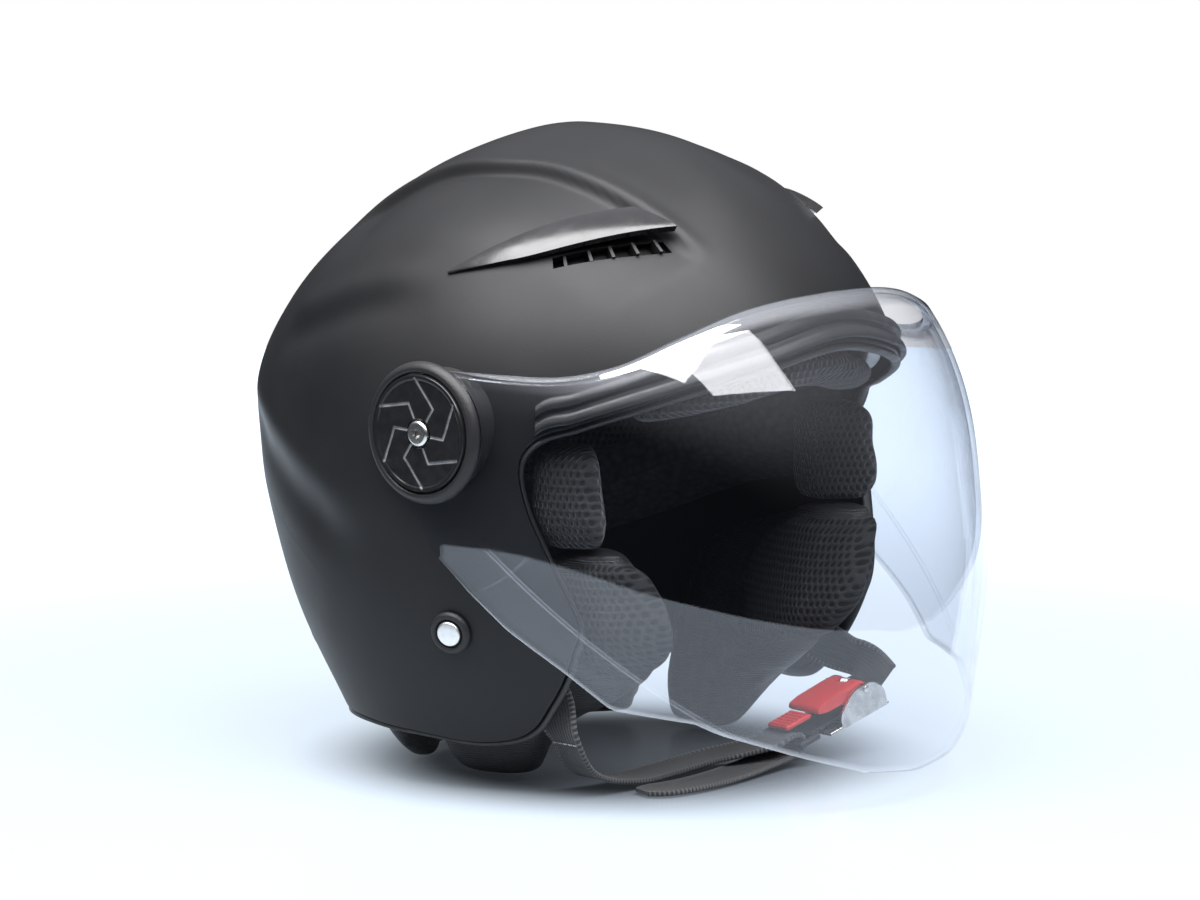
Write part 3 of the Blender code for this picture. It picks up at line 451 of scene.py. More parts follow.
def piece(made, body, slot, *nodes):
    """Says which body the piece rides on and the CAD nodes it stands for; `slot`, the finish, is not used.
    """
    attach(made, body)
    if nodes:
        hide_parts(*nodes)
    return made


# --- materials -----------------------------------------------------------------------------------
def plug(tree, socket, value):
    """Links a socket to another, or sets its value."""
    if isinstance(value, bpy.types.NodeSocket):
        tree.links.new(value, socket)
    elif value is not None:
        socket.default_value = value


def calc(tree, operation, *values):
    """A Math node; gives its result's socket."""
    made = tree.nodes.new("ShaderNodeMath")
    made.operation = operation
    for socket, value in zip(made.inputs, values):
        plug(tree, socket, value)
    return made.outputs[0]


def vector_calc(tree, operation, *values):
    """A Vector Math node; gives its vector, or for LENGTH its number."""
    made = tree.nodes.new("ShaderNodeVectorMath")
    made.operation = operation
    for socket, value in zip(made.inputs, values):
        plug(tree, socket, value)
    return made.outputs["Value" if operation in ("LENGTH", "DOT_PRODUCT") else "Vector"]


def joined(tree, x, y, z):
    made = tree.nodes.new("ShaderNodeCombineXYZ")
    for socket, value in zip(made.inputs, (x, y, z)):
        plug(tree, socket, value)
    return made.outputs[0]


def parts_of(tree, vector):
    """The X, Y and Z of a vector."""
    made = tree.nodes.new("ShaderNodeSeparateXYZ")
    plug(tree, made.inputs[0], vector)
    return made.outputs["X"], made.outputs["Y"], made.outputs["Z"]


def ramp(tree, value, low, high, start=0.0, end=1.0):
    """A smooth step of `value` from `start` at `low` to `end` at `high`."""
    made = tree.nodes.new("ShaderNodeMapRange")
    made.interpolation_type = "SMOOTHSTEP"
    for name, number in (("Value", value), ("From Min", low), ("From Max", high), ("To Min", start),
                         ("To Max", end)):
        plug(tree, made.inputs[name], number)
    return made.outputs["Result"]


def blend_colour(tree, share, first, second):
    made = tree.nodes.new("ShaderNodeMix")
    made.data_type = "RGBA"
    plug(tree, made.inputs["Factor"], share)
    plug(tree, made.inputs["A"], (*first, 1.0) if isinstance(first, tuple) else first)
    plug(tree, made.inputs["B"], (*second, 1.0) if isinstance(second, tuple) else second)
    return made.outputs["Result"]


def millimetres(tree):
    """Object coordinates in millimetres."""
    place = tree.nodes.new("ShaderNodeTexCoord").outputs["Object"]
    return vector_calc(tree, "MULTIPLY", place, (1000.0, 1000.0, 1000.0))


def noise(tree, place, size, detail=3.0, roughness=0.55):
    """Noise whose blotches are about `size` millimetres across."""
    made = tree.nodes.new("ShaderNodeTexNoise")
    plug(tree, made.inputs["Vector"], place)
    plug(tree, made.inputs["Scale"], 1.0 / size)
    plug(tree, made.inputs["Detail"], detail)
    plug(tree, made.inputs["Roughness"], roughness)
    return made.outputs["Fac"]


def field(tree, name, output="Vector"):
    made = tree.nodes.new("ShaderNodeAttribute")
    made.attribute_name = name
    return made.outputs[output]


def bump(tree, height, distance, before=None):
    """A Bump node: `height` from 0 to 1 over `distance` millimetres."""
    made = tree.nodes.new("ShaderNodeBump")
    plug(tree, made.inputs["Height"], height)
    plug(tree, made.inputs["Distance"], distance * METRES)
    plug(tree, made.inputs["Normal"], before)
    return made.outputs["Normal"]


def new_material(name, colour, roughness, metallic=0.0, **others):
    """A Principled material; gives the material, its tree and its shader."""
    made = bpy.data.materials.new(name)
    made.use_nodes = True
    tree = made.node_tree
    shader = tree.nodes["Principled BSDF"]
    shader.inputs["Base Color"].default_value = (*colour, 1.0)
    shader.inputs["Roughness"].default_value = roughness
    shader.inputs["Metallic"].default_value = metallic
    for key, value in others.items():
        shader.inputs[key.replace("_", " ")].default_value = value
    return made, tree, shader


def finish_with(tree, shader, colour=None, roughness=None, normal=None):
    plug(tree, shader.inputs["Base Color"], colour)
    plug(tree, shader.inputs["Roughness"], roughness)
    plug(tree, shader.inputs["Normal"], normal)


def coat_material():
    """Matte black paint with a soft sheen, a fine grain and faint handling marks."""
    made, tree, shader = new_material("matte_black_coat", (0.010, 0.010, 0.011), 0.44,
                                      Specular_IOR_Level=0.24)
    place = millimetres(tree)
    cloud = noise(tree, place, 38.0, 4.0)
    grain = noise(tree, place, 0.55, 2.0)
    colour = blend_colour(tree, cloud, (0.0085, 0.0088, 0.0098), (0.0115, 0.0117, 0.0125))
    rough = calc(tree, "ADD", ramp(tree, cloud, 0.3, 0.7, 0.40, 0.46),
                 calc(tree, "MULTIPLY", grain, 0.05))
    finish_with(tree, shader, colour, rough, bump(tree, grain, 0.035))
    return made


def gloss_material(name="gloss_black_plastic", specular=0.5):
    """Moulded gloss black plastic with fine swirl scratches."""
    made, tree, shader = new_material(name, (0.010, 0.010, 0.011), 0.16, Specular_IOR_Level=specular)
    place = millimetres(tree)
    dust = noise(tree, place, 7.0, 5.0)
    streak = noise(tree, vector_calc(tree, "MULTIPLY", place, (0.25, 1.0, 3.0)), 1.6, 4.0)
    rough = calc(tree, "ADD", ramp(tree, dust, 0.35, 0.75, 0.13, 0.21),
                 calc(tree, "MULTIPLY", streak, 0.05))
    colour = blend_colour(tree, dust, (0.009, 0.009, 0.010), (0.016, 0.016, 0.017))
    finish_with(tree, shader, colour, rough, bump(tree, streak, 0.008))
    return made


def satin_material(name="satin_black_plastic", grain_size=0.5, depth=0.06, rough_base=0.42):
    """Moulded black plastic with a spark-eroded grain."""
    made, tree, shader = new_material(name, (0.012, 0.012, 0.013), rough_base, Specular_IOR_Level=0.3)
    place = millimetres(tree)
    grain = noise(tree, place, grain_size, 3.0, 0.7)
    cloud = noise(tree, place, 12.0, 3.0)
    colour = blend_colour(tree, cloud, (0.013, 0.013, 0.014), (0.021, 0.021, 0.022))
    rough = calc(tree, "ADD", rough_base - 0.05, calc(tree, "MULTIPLY", cloud, 0.12))
    finish_with(tree, shader, colour, rough, bump(tree, grain, depth))
    return made


def foam_material():
    """Expanded foam: beads pressed together."""
    made, tree, shader = new_material("grey_bead_foam", (0.05, 0.05, 0.053), 0.9)
    beads = tree.nodes.new("ShaderNodeTexVoronoi")
    plug(tree, beads.inputs["Vector"], millimetres(tree))
    plug(tree, beads.inputs["Scale"], 1 / 3.4)
    distance = beads.outputs["Distance"]
    colour = blend_colour(tree, distance, (0.06, 0.06, 0.063), (0.02, 0.02, 0.021))
    height = calc(tree, "SUBTRACT", 1.0, distance)
    finish_with(tree, shader, colour, None, bump(tree, height, 0.5))
    return made


def lattice(tree, place, pitch):
    """Distance to the nearest point of a hexagonal lattice, in pitches, from 0 to 0.58."""
    scaled = vector_calc(tree, "MULTIPLY", place, (1 / pitch, 1 / (pitch * sqrt(3)), 0.0))
    reach = []
    for shift in (0.0, 0.5):
        moved = vector_calc(tree, "ADD", scaled, (shift, shift, 0.0))
        cell = vector_calc(tree, "SUBTRACT", vector_calc(tree, "FRACTION", moved), (0.5, 0.5, 0.0))
        stretched = vector_calc(tree, "MULTIPLY", cell, (1.0, sqrt(3), 0.0))
        reach.append(vector_calc(tree, "LENGTH", stretched))
    return calc(tree, "MINIMUM", *reach)


def mesh_layers(tree, place):
    """Spacer mesh: oval holes in a knitted face. Gives its colour and height."""
    warp = noise(tree, place, 9.0, 2.0)
    wander = vector_calc(tree, "ADD", place, joined(tree, warp, warp, 0.0))
    distance = lattice(tree, vector_calc(tree, "MULTIPLY", wander, (1.0, 0.72, 0.0)), 2.6)
    yarn = noise(tree, place, 0.45, 3.0, 0.7)
    hole = ramp(tree, distance, 0.20, 0.33, 1.0, 0.0)
    height = calc(tree, "MULTIPLY_ADD", yarn, 0.35, ramp(tree, distance, 0.18, 0.46))
    thread = blend_colour(tree, yarn, (0.012, 0.012, 0.013), (0.042, 0.041, 0.040))
    colour = blend_colour(tree, hole, thread, (0.002, 0.002, 0.002))
    return colour, height


def mesh_material(name="black_spacer_mesh", sheen=0.25):
    made, tree, shader = new_material(name, (0.012, 0.012, 0.013), 0.8, Sheen_Weight=sheen,
                                      Sheen_Roughness=0.4)
    colour, height = mesh_layers(tree, field(tree, "cloth"))
    finish_with(tree, shader, colour, None, bump(tree, height, 0.7))
    return made


def leather_layers(tree, place):
    """Leatherette pressed with fine, slightly wavy lines. Gives colour, roughness and height."""
    wander = noise(tree, place, 6.0, 2.0)
    _, upright, _ = parts_of(tree, place)
    line_place = calc(tree, "ADD", upright, calc(tree, "MULTIPLY", wander, 1.2))
    line = calc(tree, "SINE", calc(tree, "MULTIPLY", line_place, 2 * pi / 0.95))
    grain = noise(tree, place, 0.7, 3.0, 0.6)
    height = calc(tree, "ADD", calc(tree, "MULTIPLY", line, 0.35), grain)
    colour = blend_colour(tree, grain, (0.010, 0.010, 0.011), (0.028, 0.028, 0.029))
    rough = ramp(tree, noise(tree, place, 14.0, 3.0), 0.3, 0.7, 0.42, 0.58)
    return colour, rough, height


def leather_material():
    """Leatherette, with spacer mesh where the `mesh` field says so."""
    made, tree, shader = new_material("black_leatherette", (0.016, 0.016, 0.017), 0.5)
    place = field(tree, "cloth")
    zone = field(tree, "mesh", "Fac")
    colour, rough, height = leather_layers(tree, place)
    mesh_colour, mesh_height = mesh_layers(tree, place)
    mixed = blend_colour(tree, zone, colour, mesh_colour)
    relief = calc(tree, "ADD", calc(tree, "MULTIPLY", height, calc(tree, "SUBTRACT", 1.0, zone)),
                  calc(tree, "MULTIPLY", mesh_height, calc(tree, "MULTIPLY", zone, 2.4)))
    rough = calc(tree, "ADD", rough, calc(tree, "MULTIPLY", zone, 0.35))
    finish_with(tree, shader, mixed, rough, bump(tree, relief, 0.28))
    return made


def webbing_material():
    """Woven webbing: ribs along the strap, crossed by a fine twill, with beaded pale edges."""
    made, tree, shader = new_material("black_webbing", (0.012, 0.012, 0.013), 0.75,
                                      Sheen_Weight=0.2)
    along, across, edge = parts_of(tree, field(tree, "cloth"))
    rib = calc(tree, "SINE", calc(tree, "MULTIPLY", across, 2 * pi / 1.5))
    pick = calc(tree, "SINE", calc(tree, "MULTIPLY", calc(tree, "ADD", along, across), 2 * pi / 0.9))
    fibre = noise(tree, field(tree, "cloth"), 0.3, 2.0)
    weave = calc(tree, "ADD", calc(tree, "MULTIPLY", pick, 0.35), calc(tree, "MULTIPLY", fibre, 0.4))
    height = calc(tree, "ADD", calc(tree, "MULTIPLY", rib, 0.4), weave)
    body = blend_colour(tree, ramp(tree, height, -0.3, 0.9), (0.005, 0.005, 0.006),
                        (0.020, 0.020, 0.021))
    bead = ramp(tree, calc(tree, "SINE", calc(tree, "MULTIPLY", along, 2 * pi / 1.7)), -0.2, 0.7)
    thread = blend_colour(tree, bead, (0.012, 0.012, 0.013), (0.085, 0.085, 0.088))
    finish_with(tree, shader, blend_colour(tree, edge, body, thread), None, bump(tree, height, 0.25))
    return made


def thread_material():
    made, tree, shader = new_material("grey_thread", (0.30, 0.30, 0.31), 0.6, Sheen_Weight=0.3)
    place = millimetres(tree)
    twist = noise(tree, place, 0.35, 2.0)
    colour = blend_colour(tree, twist, (0.16, 0.16, 0.17), (0.42, 0.42, 0.43))
    finish_with(tree, shader, colour, None, bump(tree, twist, 0.12))
    return made


def steel_material(name, colour, rough, worn):
    """Metal with fine brushing and duller patches."""
    made, tree, shader = new_material(name, colour, rough, 1.0)
    place = millimetres(tree)
    brushed = noise(tree, vector_calc(tree, "MULTIPLY", place, (1.0, 1.0, 7.0)), 1.2, 4.0)
    cloud = noise(tree, place, 5.0, 4.0)
    dull = tuple(c * worn for c in colour)
    finish_with(tree, shader, blend_colour(tree, ramp(tree, cloud, 0.35, 0.8), colour, dull),
                calc(tree, "ADD", rough - 0.06, calc(tree, "MULTIPLY", cloud, 0.2)),
                bump(tree, brushed, 0.02))
    return made


def mottled_material(name, colour, roughness, cloud_size, dark, light, rough_range, grain=None):
    """Plastic or rubber with faint cloudy patches; `grain` is the size, detail and depth of a grain."""
    made, tree, shader = new_material(name, colour, roughness)
    place = millimetres(tree)
    cloud = noise(tree, place, cloud_size, 4.0)
    normal = bump(tree, noise(tree, place, *grain[:2]), grain[2]) if grain else None
    finish_with(tree, shader, blend_colour(tree, cloud, dark, light),
                ramp(tree, cloud, 0.3, 0.7, *rough_range), normal)
    return made


def disc_material():
    """The pivot disc: gloss black, with a painted highlight along the moulded lines, pale grey and patchy.
    """
    made, tree, shader = new_material("grooved_black_plastic", (0.010, 0.010, 0.011), 0.2,
                                      Specular_IOR_Level=0.3)
    place = millimetres(tree)
    dust = noise(tree, place, 3.0, 4.0)
    line = field(tree, "line", "Fac")
    # Painted highlight: pale grey along the moulded lines, broken up by the noise.
    painted_line_highlight = calc(tree, "MULTIPLY", line, ramp(tree, dust, 0.25, 0.7, 0.45, 1.0))
    base = blend_colour(tree, dust, (0.008, 0.008, 0.009), (0.018, 0.018, 0.019))
    finish_with(tree, shader, blend_colour(tree, painted_line_highlight, base, (0.22, 0.22, 0.23)),
                ramp(tree, dust, 0.3, 0.75, 0.14, 0.26))
    return made


# The lens's lines, in millimetres from the middle of the pivot.
LENS_ARC_RADIUS = 65.0
LENS_CREASE_SLOPE, LENS_CREASE_HEIGHT = 0.825, -20.5
LENS_LINES_FADE = (-40.0, -14.0)
# How much of the lens is mirror: square on, on its polished rims and on its lines.
LENS_MIRROR, LENS_EDGE_SHINE, LENS_LINE_SHINE = 0.05, 0.34, 0.12


def visor_lines(tree):
    """The lens's moulded lines: an arc round each pivot and a crease above the lower edge."""
    pivot = (0.0, PIVOT_Y + SHELL_CENTRE[1], PIVOT_Z + SHELL_CENTRE[2])
    _, y, z = parts_of(tree, vector_calc(tree, "SUBTRACT", millimetres(tree), pivot))
    squares = calc(tree, "MULTIPLY", y, y), calc(tree, "MULTIPLY", z, z)
    radius = calc(tree, "SQRT", calc(tree, "ADD", *squares))
    away = calc(tree, "ABSOLUTE", calc(tree, "SUBTRACT", radius, LENS_ARC_RADIUS))
    arc = ramp(tree, away, 0.15, 0.45, 0.35, 0.0)
    crease_line = calc(tree, "MULTIPLY_ADD", y, LENS_CREASE_SLOPE, LENS_CREASE_HEIGHT)
    rise = calc(tree, "SUBTRACT", z, crease_line)
    crease = ramp(tree, calc(tree, "ABSOLUTE", rise), 0.2, 0.9, 1.0, 0.0)
    facet = ramp(tree, rise, -1.0, 0.0, 0.08, 0.0)
    front = ramp(tree, y, *LENS_LINES_FADE, 1.0, 0.0)
    lines = calc(tree, "MAXIMUM", calc(tree, "MAXIMUM", arc, crease), facet)
    return calc(tree, "MULTIPLY", lines, front)


def visor_material():
    """Clear polycarbonate: see-through, with surface reflections and the faintest tint."""
    made, tree, shader = new_material("clear_polycarbonate", (0.93, 0.94, 0.96), 0.02)
    tree.nodes.remove(shader)
    through = tree.nodes.new("ShaderNodeBsdfTransparent")
    through.inputs["Color"].default_value = (0.932, 0.94, 0.96, 1.0)
    mirror = tree.nodes.new("ShaderNodeBsdfGlossy")
    mirror.inputs["Color"].default_value = (0.98, 0.98, 1.0, 1.0)
    smear = noise(tree, millimetres(tree), 24.0, 4.0)
    plug(tree, mirror.inputs["Roughness"], ramp(tree, smear, 0.35, 0.75, 0.012, 0.035))
    facing = tree.nodes.new("ShaderNodeLayerWeight")
    facing.inputs["Blend"].default_value = 0.5
    glance = calc(tree, "POWER", facing.outputs["Facing"], 5.0)
    share = calc(tree, "MULTIPLY_ADD", glance, 1 - LENS_MIRROR, LENS_MIRROR)
    share = calc(tree, "MULTIPLY_ADD", field(tree, "edge", "Fac"), LENS_EDGE_SHINE, share)
    share = calc(tree, "MULTIPLY_ADD", visor_lines(tree), LENS_LINE_SHINE, share)
    mix = tree.nodes.new("ShaderNodeMixShader")
    plug(tree, mix.inputs[0], share)
    plug(tree, mix.inputs[1], through.outputs[0])
    plug(tree, mix.inputs[2], mirror.outputs[0])
    plug(tree, tree.nodes["Material Output"].inputs["Surface"], mix.outputs[0])
    return made


FINISH = {
    "coat": coat_material(),
    "gloss": gloss_material(),
    "fin": gloss_material("polished_black_fin", 0.62),
    "satin": satin_material(),
    "ring": satin_material("textured_black_plastic", 0.9, 0.16, 0.36),
    "rubber": mottled_material("black_rubber", (0.014, 0.014, 0.015), 0.5, 9.0, (0.010, 0.010, 0.011),
                               (0.022, 0.022, 0.023), (0.38, 0.55), (0.8, 2.0, 0.05)),
    "foam": foam_material(),
    "mesh": mesh_material(),
    "lining": mesh_material("dark_lining_mesh", 0.0),
    "leather": leather_material(),
    "webbing": webbing_material(),
    "thread": thread_material(),
    "steel": steel_material("bright_steel", (0.66, 0.65, 0.63), 0.24, 0.6),
    "aluminium": steel_material("satin_aluminium", (0.80, 0.80, 0.79), 0.36, 0.82),
    "red": mottled_material("red_plastic", (0.55, 0.02, 0.018), 0.34, 8.0, (0.42, 0.010, 0.010),
                            (0.66, 0.030, 0.025), (0.28, 0.42), (0.6, 3.0, 0.03)),
    "nylon": mottled_material("white_nylon", (0.72, 0.72, 0.68), 0.45, 4.0, (0.62, 0.62, 0.57),
                              (0.76, 0.76, 0.72), (0.38, 0.5)),
    "disc": disc_material(),
    "visor": visor_material(),
}


# --- shell ---------------------------------------------------------------------------------------
SHELL_COLUMNS = 500
SHELL_ROWS = 240
SHELL_SHARP_ANGLE = 55.0


# Soft folds in the shell, with their depth and width: a crease below the scoop, one behind the
# pivot and one each side of the crown.
FOLDS = [(LOWER_CREASE, 1.3, 9), (REAR_CREASE, 2.0, 12), (RIDGE_CREASE, 0.8, 15)]


def near_curve(directions, curve, reach):
    """For points round the centre: distance to a curve, side of it and place along it.

    Distances are millimetres on the shell. The side is positive above the curve.
    """
    line = on_shell(smooth_path(curve, np.linspace(0, 1, 400))) - SHELL_CENTRE
    ahead = np.gradient(line, axis=0)
    normal = line / np.linalg.norm(line, axis=1, keepdims=True)
    above = np.cross(ahead, normal)
    above /= np.linalg.norm(above, axis=1, keepdims=True)
    above *= -1 if np.median(above[:, 2]) < 0 else 1
    distance = np.full(len(directions), 1e3)
    side = np.zeros(len(directions))
    along = np.zeros(len(directions))
    close = np.linalg.norm(directions[:, None] - line[None, ::20], axis=2).min(1) < reach + 12
    near = directions[close]
    gap = near[:, None] - line[None]
    length = np.linalg.norm(gap, axis=2)
    best = length.argmin(1)
    pick = np.arange(len(near))
    side[close] = np.sum(gap[pick, best] * above[best], axis=1)
    distance[close] = length[pick, best]
    along[close] = best / (len(line) - 1)
    return distance, side, along


def shell_relief(points):
    """How far each shell point (from the centre, right or left) is moved out by the moulding."""
    right = np.array(points)
    right[:, 0] = -np.abs(right[:, 0])
    relief = np.zeros(len(points))
    # The crown panel ends in a step; the side below it is scooped and comes back gently.
    distance, side, along = near_curve(right, ARC_STEP, 60)
    fade = smoothstep(0.0, 0.12, along) * smoothstep(1.0, 0.80, along)
    scoop = smoothstep(2.8, -2.6, side) * smoothstep(-46, -2, side)
    relief -= 3.7 * scoop * fade * (distance < 60)
    relief += 0.8 * np.exp(-((side - 4.0) / 3.5) ** 2) * fade * (distance < 14)
    for curve, depth, width in FOLDS:
        distance, side, along = near_curve(right, curve, width * 3)
        fade = smoothstep(0.0, 0.2, along) * smoothstep(1.0, 0.7, along)
        fold = np.exp(-(side / width) ** 2) - 1.3 * np.exp(-((side + width * 1.1) / width) ** 2)
        relief += depth * fold * fade * (distance < width * 3)
    return relief


def dome(name, outer_pole, rings, inner_pole, finish, smooth_angle):
    """A thick cap: rings from the outer pole down, over the edge and back up to the inner pole."""
    columns = rings.shape[1]
    points = np.vstack([outer_pole, rings.reshape(-1, 3), inner_pole])
    faces = [tuple(k + 1 for k in face) for face in grid_faces(len(rings), columns)]
    last = len(points) - 1
    for c in range(columns):
        d = (c + 1) % columns
        faces.append((0, 1 + d, 1 + c))
        faces.append((last, last - columns + c, last - columns + d))
    return mesh_object(name, points, faces, finish, smooth_angle)


def shell_grid(rows, inset, first=1):
    turn, tilt = edge_angles(SHELL_EDGE)
    turns = even_turns(SHELL_EDGE, SHELL_COLUMNS)
    limit = curve_through(np.abs(turns), turn, tilt)
    steps = np.linspace(0, 1, rows + 1)[first:]
    return np.stack([on_shell(pole_direction(turns, limit * step), inset) for step in steps])


def slot_cutter(side):
    return patch("slot_cutter", SLOT_UPPER, SLOT_LOWER, side, lambda s, t: 9.0, lambda s, t: -6.0,
                 FINISH["satin"], 24, 2)


def outer_shell():
    """The moulded shell: a finely spaced outer face, a plain inner face and a rounded edge."""
    outside = shell_grid(SHELL_ROWS, 0.0)
    flat = outside.reshape(-1, 3)
    away = flat - SHELL_CENTRE
    relief = shell_relief(away)
    unit = away / np.linalg.norm(away, axis=1, keepdims=True)
    outside = (flat + unit * relief[:, None]).reshape(outside.shape)
    inside = shell_grid(60, SHELL_WALL)[::-1]
    lip = outside[-1] * 0.8 + inside[0] * 0.2
    lip_inner = outside[-1] * 0.2 + inside[0] * 0.8
    push = unit.reshape(outside.shape)[-1]
    down = outside[-1] - outside[-2]
    down /= np.linalg.norm(down, axis=1, keepdims=True)
    rings = np.concatenate([outside[:-1], (outside[-1] - push * 0.1)[None], (lip + down * 0.5)[None],
                            (lip_inner + down * 0.5)[None], inside])
    crown = on_shell(POLE[None], 0.0) + POLE * shell_relief(POLE[None] * 120)
    made = dome("shell", crown, rings, on_shell(POLE[None], SHELL_WALL), FINISH["coat"],
                SHELL_SHARP_ANGLE)
    combine(made, [slot_cutter(side) for side, _ in SIDES])
    made.data.set_sharp_from_angle(angle=radians(SHELL_SHARP_ANGLE))
    return piece(made, "helmet", "shell_coat", "outer_shell")


def patch(name, upper, lower, side, inner, outer, finish, columns, rows):
    """A plate on the shell between two edges; `inner` and `outer` give its insets at (s, t)."""
    along = np.linspace(0, 1, columns + 1)
    mirror = np.array([-side, 1.0, 1.0])
    top, bottom = smooth_path(upper, along) * mirror, smooth_path(lower, along) * mirror
    sections = []
    across = np.linspace(0, 1, rows + 1)
    for s, a, b in zip(along, top, bottom):
        directions = a + (b - a) * across[:, None]
        outside = on_shell(directions, np.array([outer(s, t) for t in across]))
        inside = on_shell(directions, np.array([inner(s, t) for t in across]))
        sections.append(np.vstack([outside, inside[::-1]]))
    return loft(name, sections, finish)


def edge_trim():
    """The rubber bead round the shell's edge: (inset, angle past the edge) round a small oval."""
    turn, tilt = edge_angles(SHELL_EDGE)
    turns = even_turns(SHELL_EDGE, SHELL_COLUMNS)
    limit = curve_through(np.abs(turns), turn, tilt)
    outline = [(SHELL_WALL / 2 + (SHELL_WALL / 2 + 0.2) * cos(a), 0.015 + 0.0095 * sin(a))
               for a in np.linspace(0, 2 * pi, 12, endpoint=False)]
    sections = np.stack([on_shell(pole_direction(turns, limit + extra), inset)
                         for inset, extra in outline], 1)
    made = loft("shell_edge_trim", sections, FINISH["rubber"], ring=True)
    return piece(made, "helmet", "trim_rubber", "edge_trim")


# --- vents ---------------------------------------------------------------------------------------
VENT_RIBS = 5


def vents(side, label):
    """The gloss fin over the vent, a plate behind its slot and the ribs inside the slot."""
    def crown(t):
        return 0.9 * np.sin(pi * min(1.0, t * 1.02)) ** 0.5

    blade = patch("vent_fin_" + label, BLADE_UPPER, BLADE_LOWER, side,
                  lambda s, t: 1.4 - 2.6 * s * t,
                  lambda s, t: -(0.9 + 3.9 * s * t + 0.5 * crown(t)), FINISH["fin"], 64, 12)
    edge = blade.modifiers.new("soft edges", "BEVEL")
    edge.width = 0.35 * METRES
    edge.segments = 3
    edge.angle_limit = radians(45)
    piece(blade, "helmet", "gloss_black", "vent_blade_" + label)

    mirror = np.array([-side, 1.0, 1.0])
    upper = smooth_path(SLOT_UPPER, np.linspace(0, 1, 40)) * mirror
    lower = smooth_path(SLOT_LOWER, np.linspace(0, 1, 40)) * mirror
    grille = patch("vent_back_" + label, SLOT_UPPER, SLOT_LOWER, side, lambda s, t: 8.6,
                   lambda s, t: 7.2, FINISH["satin"], 24, 2)
    ribs = []
    for rib in range(VENT_RIBS):
        at = (rib + 0.55) / VENT_RIBS
        here = int(at * 39)
        wide = (upper[min(here + 1, 39)] - upper[here])
        wide = wide / np.linalg.norm(wide) * 0.85
        top, low = upper[here] * 0.98 + lower[here] * 0.02, lower[here] * 0.99 + upper[here] * 0.01
        sections = []
        for place, reach in ((top, 1.2), (low, 0.9)):
            ring = [on_shell((place - wide)[None], 7.6)[0], on_shell((place + wide)[None], 7.6)[0],
                    on_shell((place + wide * 0.7)[None], reach)[0],
                    on_shell((place - wide * 0.7)[None], reach)[0]]
            sections.append(ring)
        ribs.append(loft("vent_rib", sections, FINISH["satin"]))
    joined_mesh(grille, ribs)
    piece(grille, "helmet", "satin_black", "vent_grille_" + label)


def joined_mesh(target, others):
    """Puts the meshes of other objects, which have no modifiers, into the target's."""
    bm = bmesh.new()
    for source in (target, *others):
        start = len(bm.verts)
        bm.from_mesh(source.data)
        bm.verts.ensure_lookup_table()
        shift = target.matrix_world.inverted() @ source.matrix_world
        for vert in bm.verts[start:]:
            vert.co = shift @ vert.co
    bm.to_mesh(target.data)
    bm.free()
    for source in others:
        bpy.data.objects.remove(source)
    return target


# --- visor ---------------------------------------------------------------------------------------
VISOR_COLUMNS = 150
VISOR_ROWS = 64
EAR_COLUMNS = 26
LIP = 4.0


def visor_profile(at, table):
    """A smooth reading of one of the visor's tables."""
    places, values = np.array(table, float).T
    return curve_through(at, places, values)


def visor_point(sweep, height, inset):
    """A point of the lens: sweep -1 at the right ear line, 0 in front, 1 at the left."""
    half = visor_profile(height, VISOR_HALF_WIDTH) - inset
    middle = PIVOT_Y - VISOR_FLAT
    length = middle - visor_profile(height, VISOR_FRONT) - inset
    angle = np.abs(sweep) * pi / 2
    x = half * np.sin(angle) ** (2 / VISOR_POWER) * np.sign(sweep)
    y = middle - length * np.cos(angle) ** (2 / VISOR_POWER)
    return SHELL_CENTRE + np.stack([x, y, height], -1)


def ear_edges(y):
    """Top and bottom of the flat ear at each y from the centre, behind the lens."""
    low = np.interp(1.0, *np.array(VISOR_BOTTOM).T)
    front = PIVOT_Y - VISOR_FLAT
    reach = np.hypot(front - PIVOT_Y, low - PIVOT_Z)
    tangent = np.arctan2(low - PIVOT_Z, front - PIVOT_Y) + np.arccos(EAR_RADIUS / reach)
    touch = np.array([PIVOT_Y + EAR_RADIUS * cos(tangent), PIVOT_Z + EAR_RADIUS * sin(tangent)])
    rise = np.sqrt(np.maximum(EAR_RADIUS ** 2 - (y - PIVOT_Y) ** 2, 0.0))
    slope = (touch[1] - low) / (touch[0] - front)
    bottom = np.where(y < touch[0], low + slope * (y - front), PIVOT_Z - rise)
    top = PIVOT_Z + rise
    start = np.interp(1.0, *np.array(VISOR_TOP).T)
    share = smoothstep(front, PIVOT_Y, y)
    return np.where(y < PIVOT_Y, start * (1 - share) + (PIVOT_Z + EAR_RADIUS) * share, top), bottom


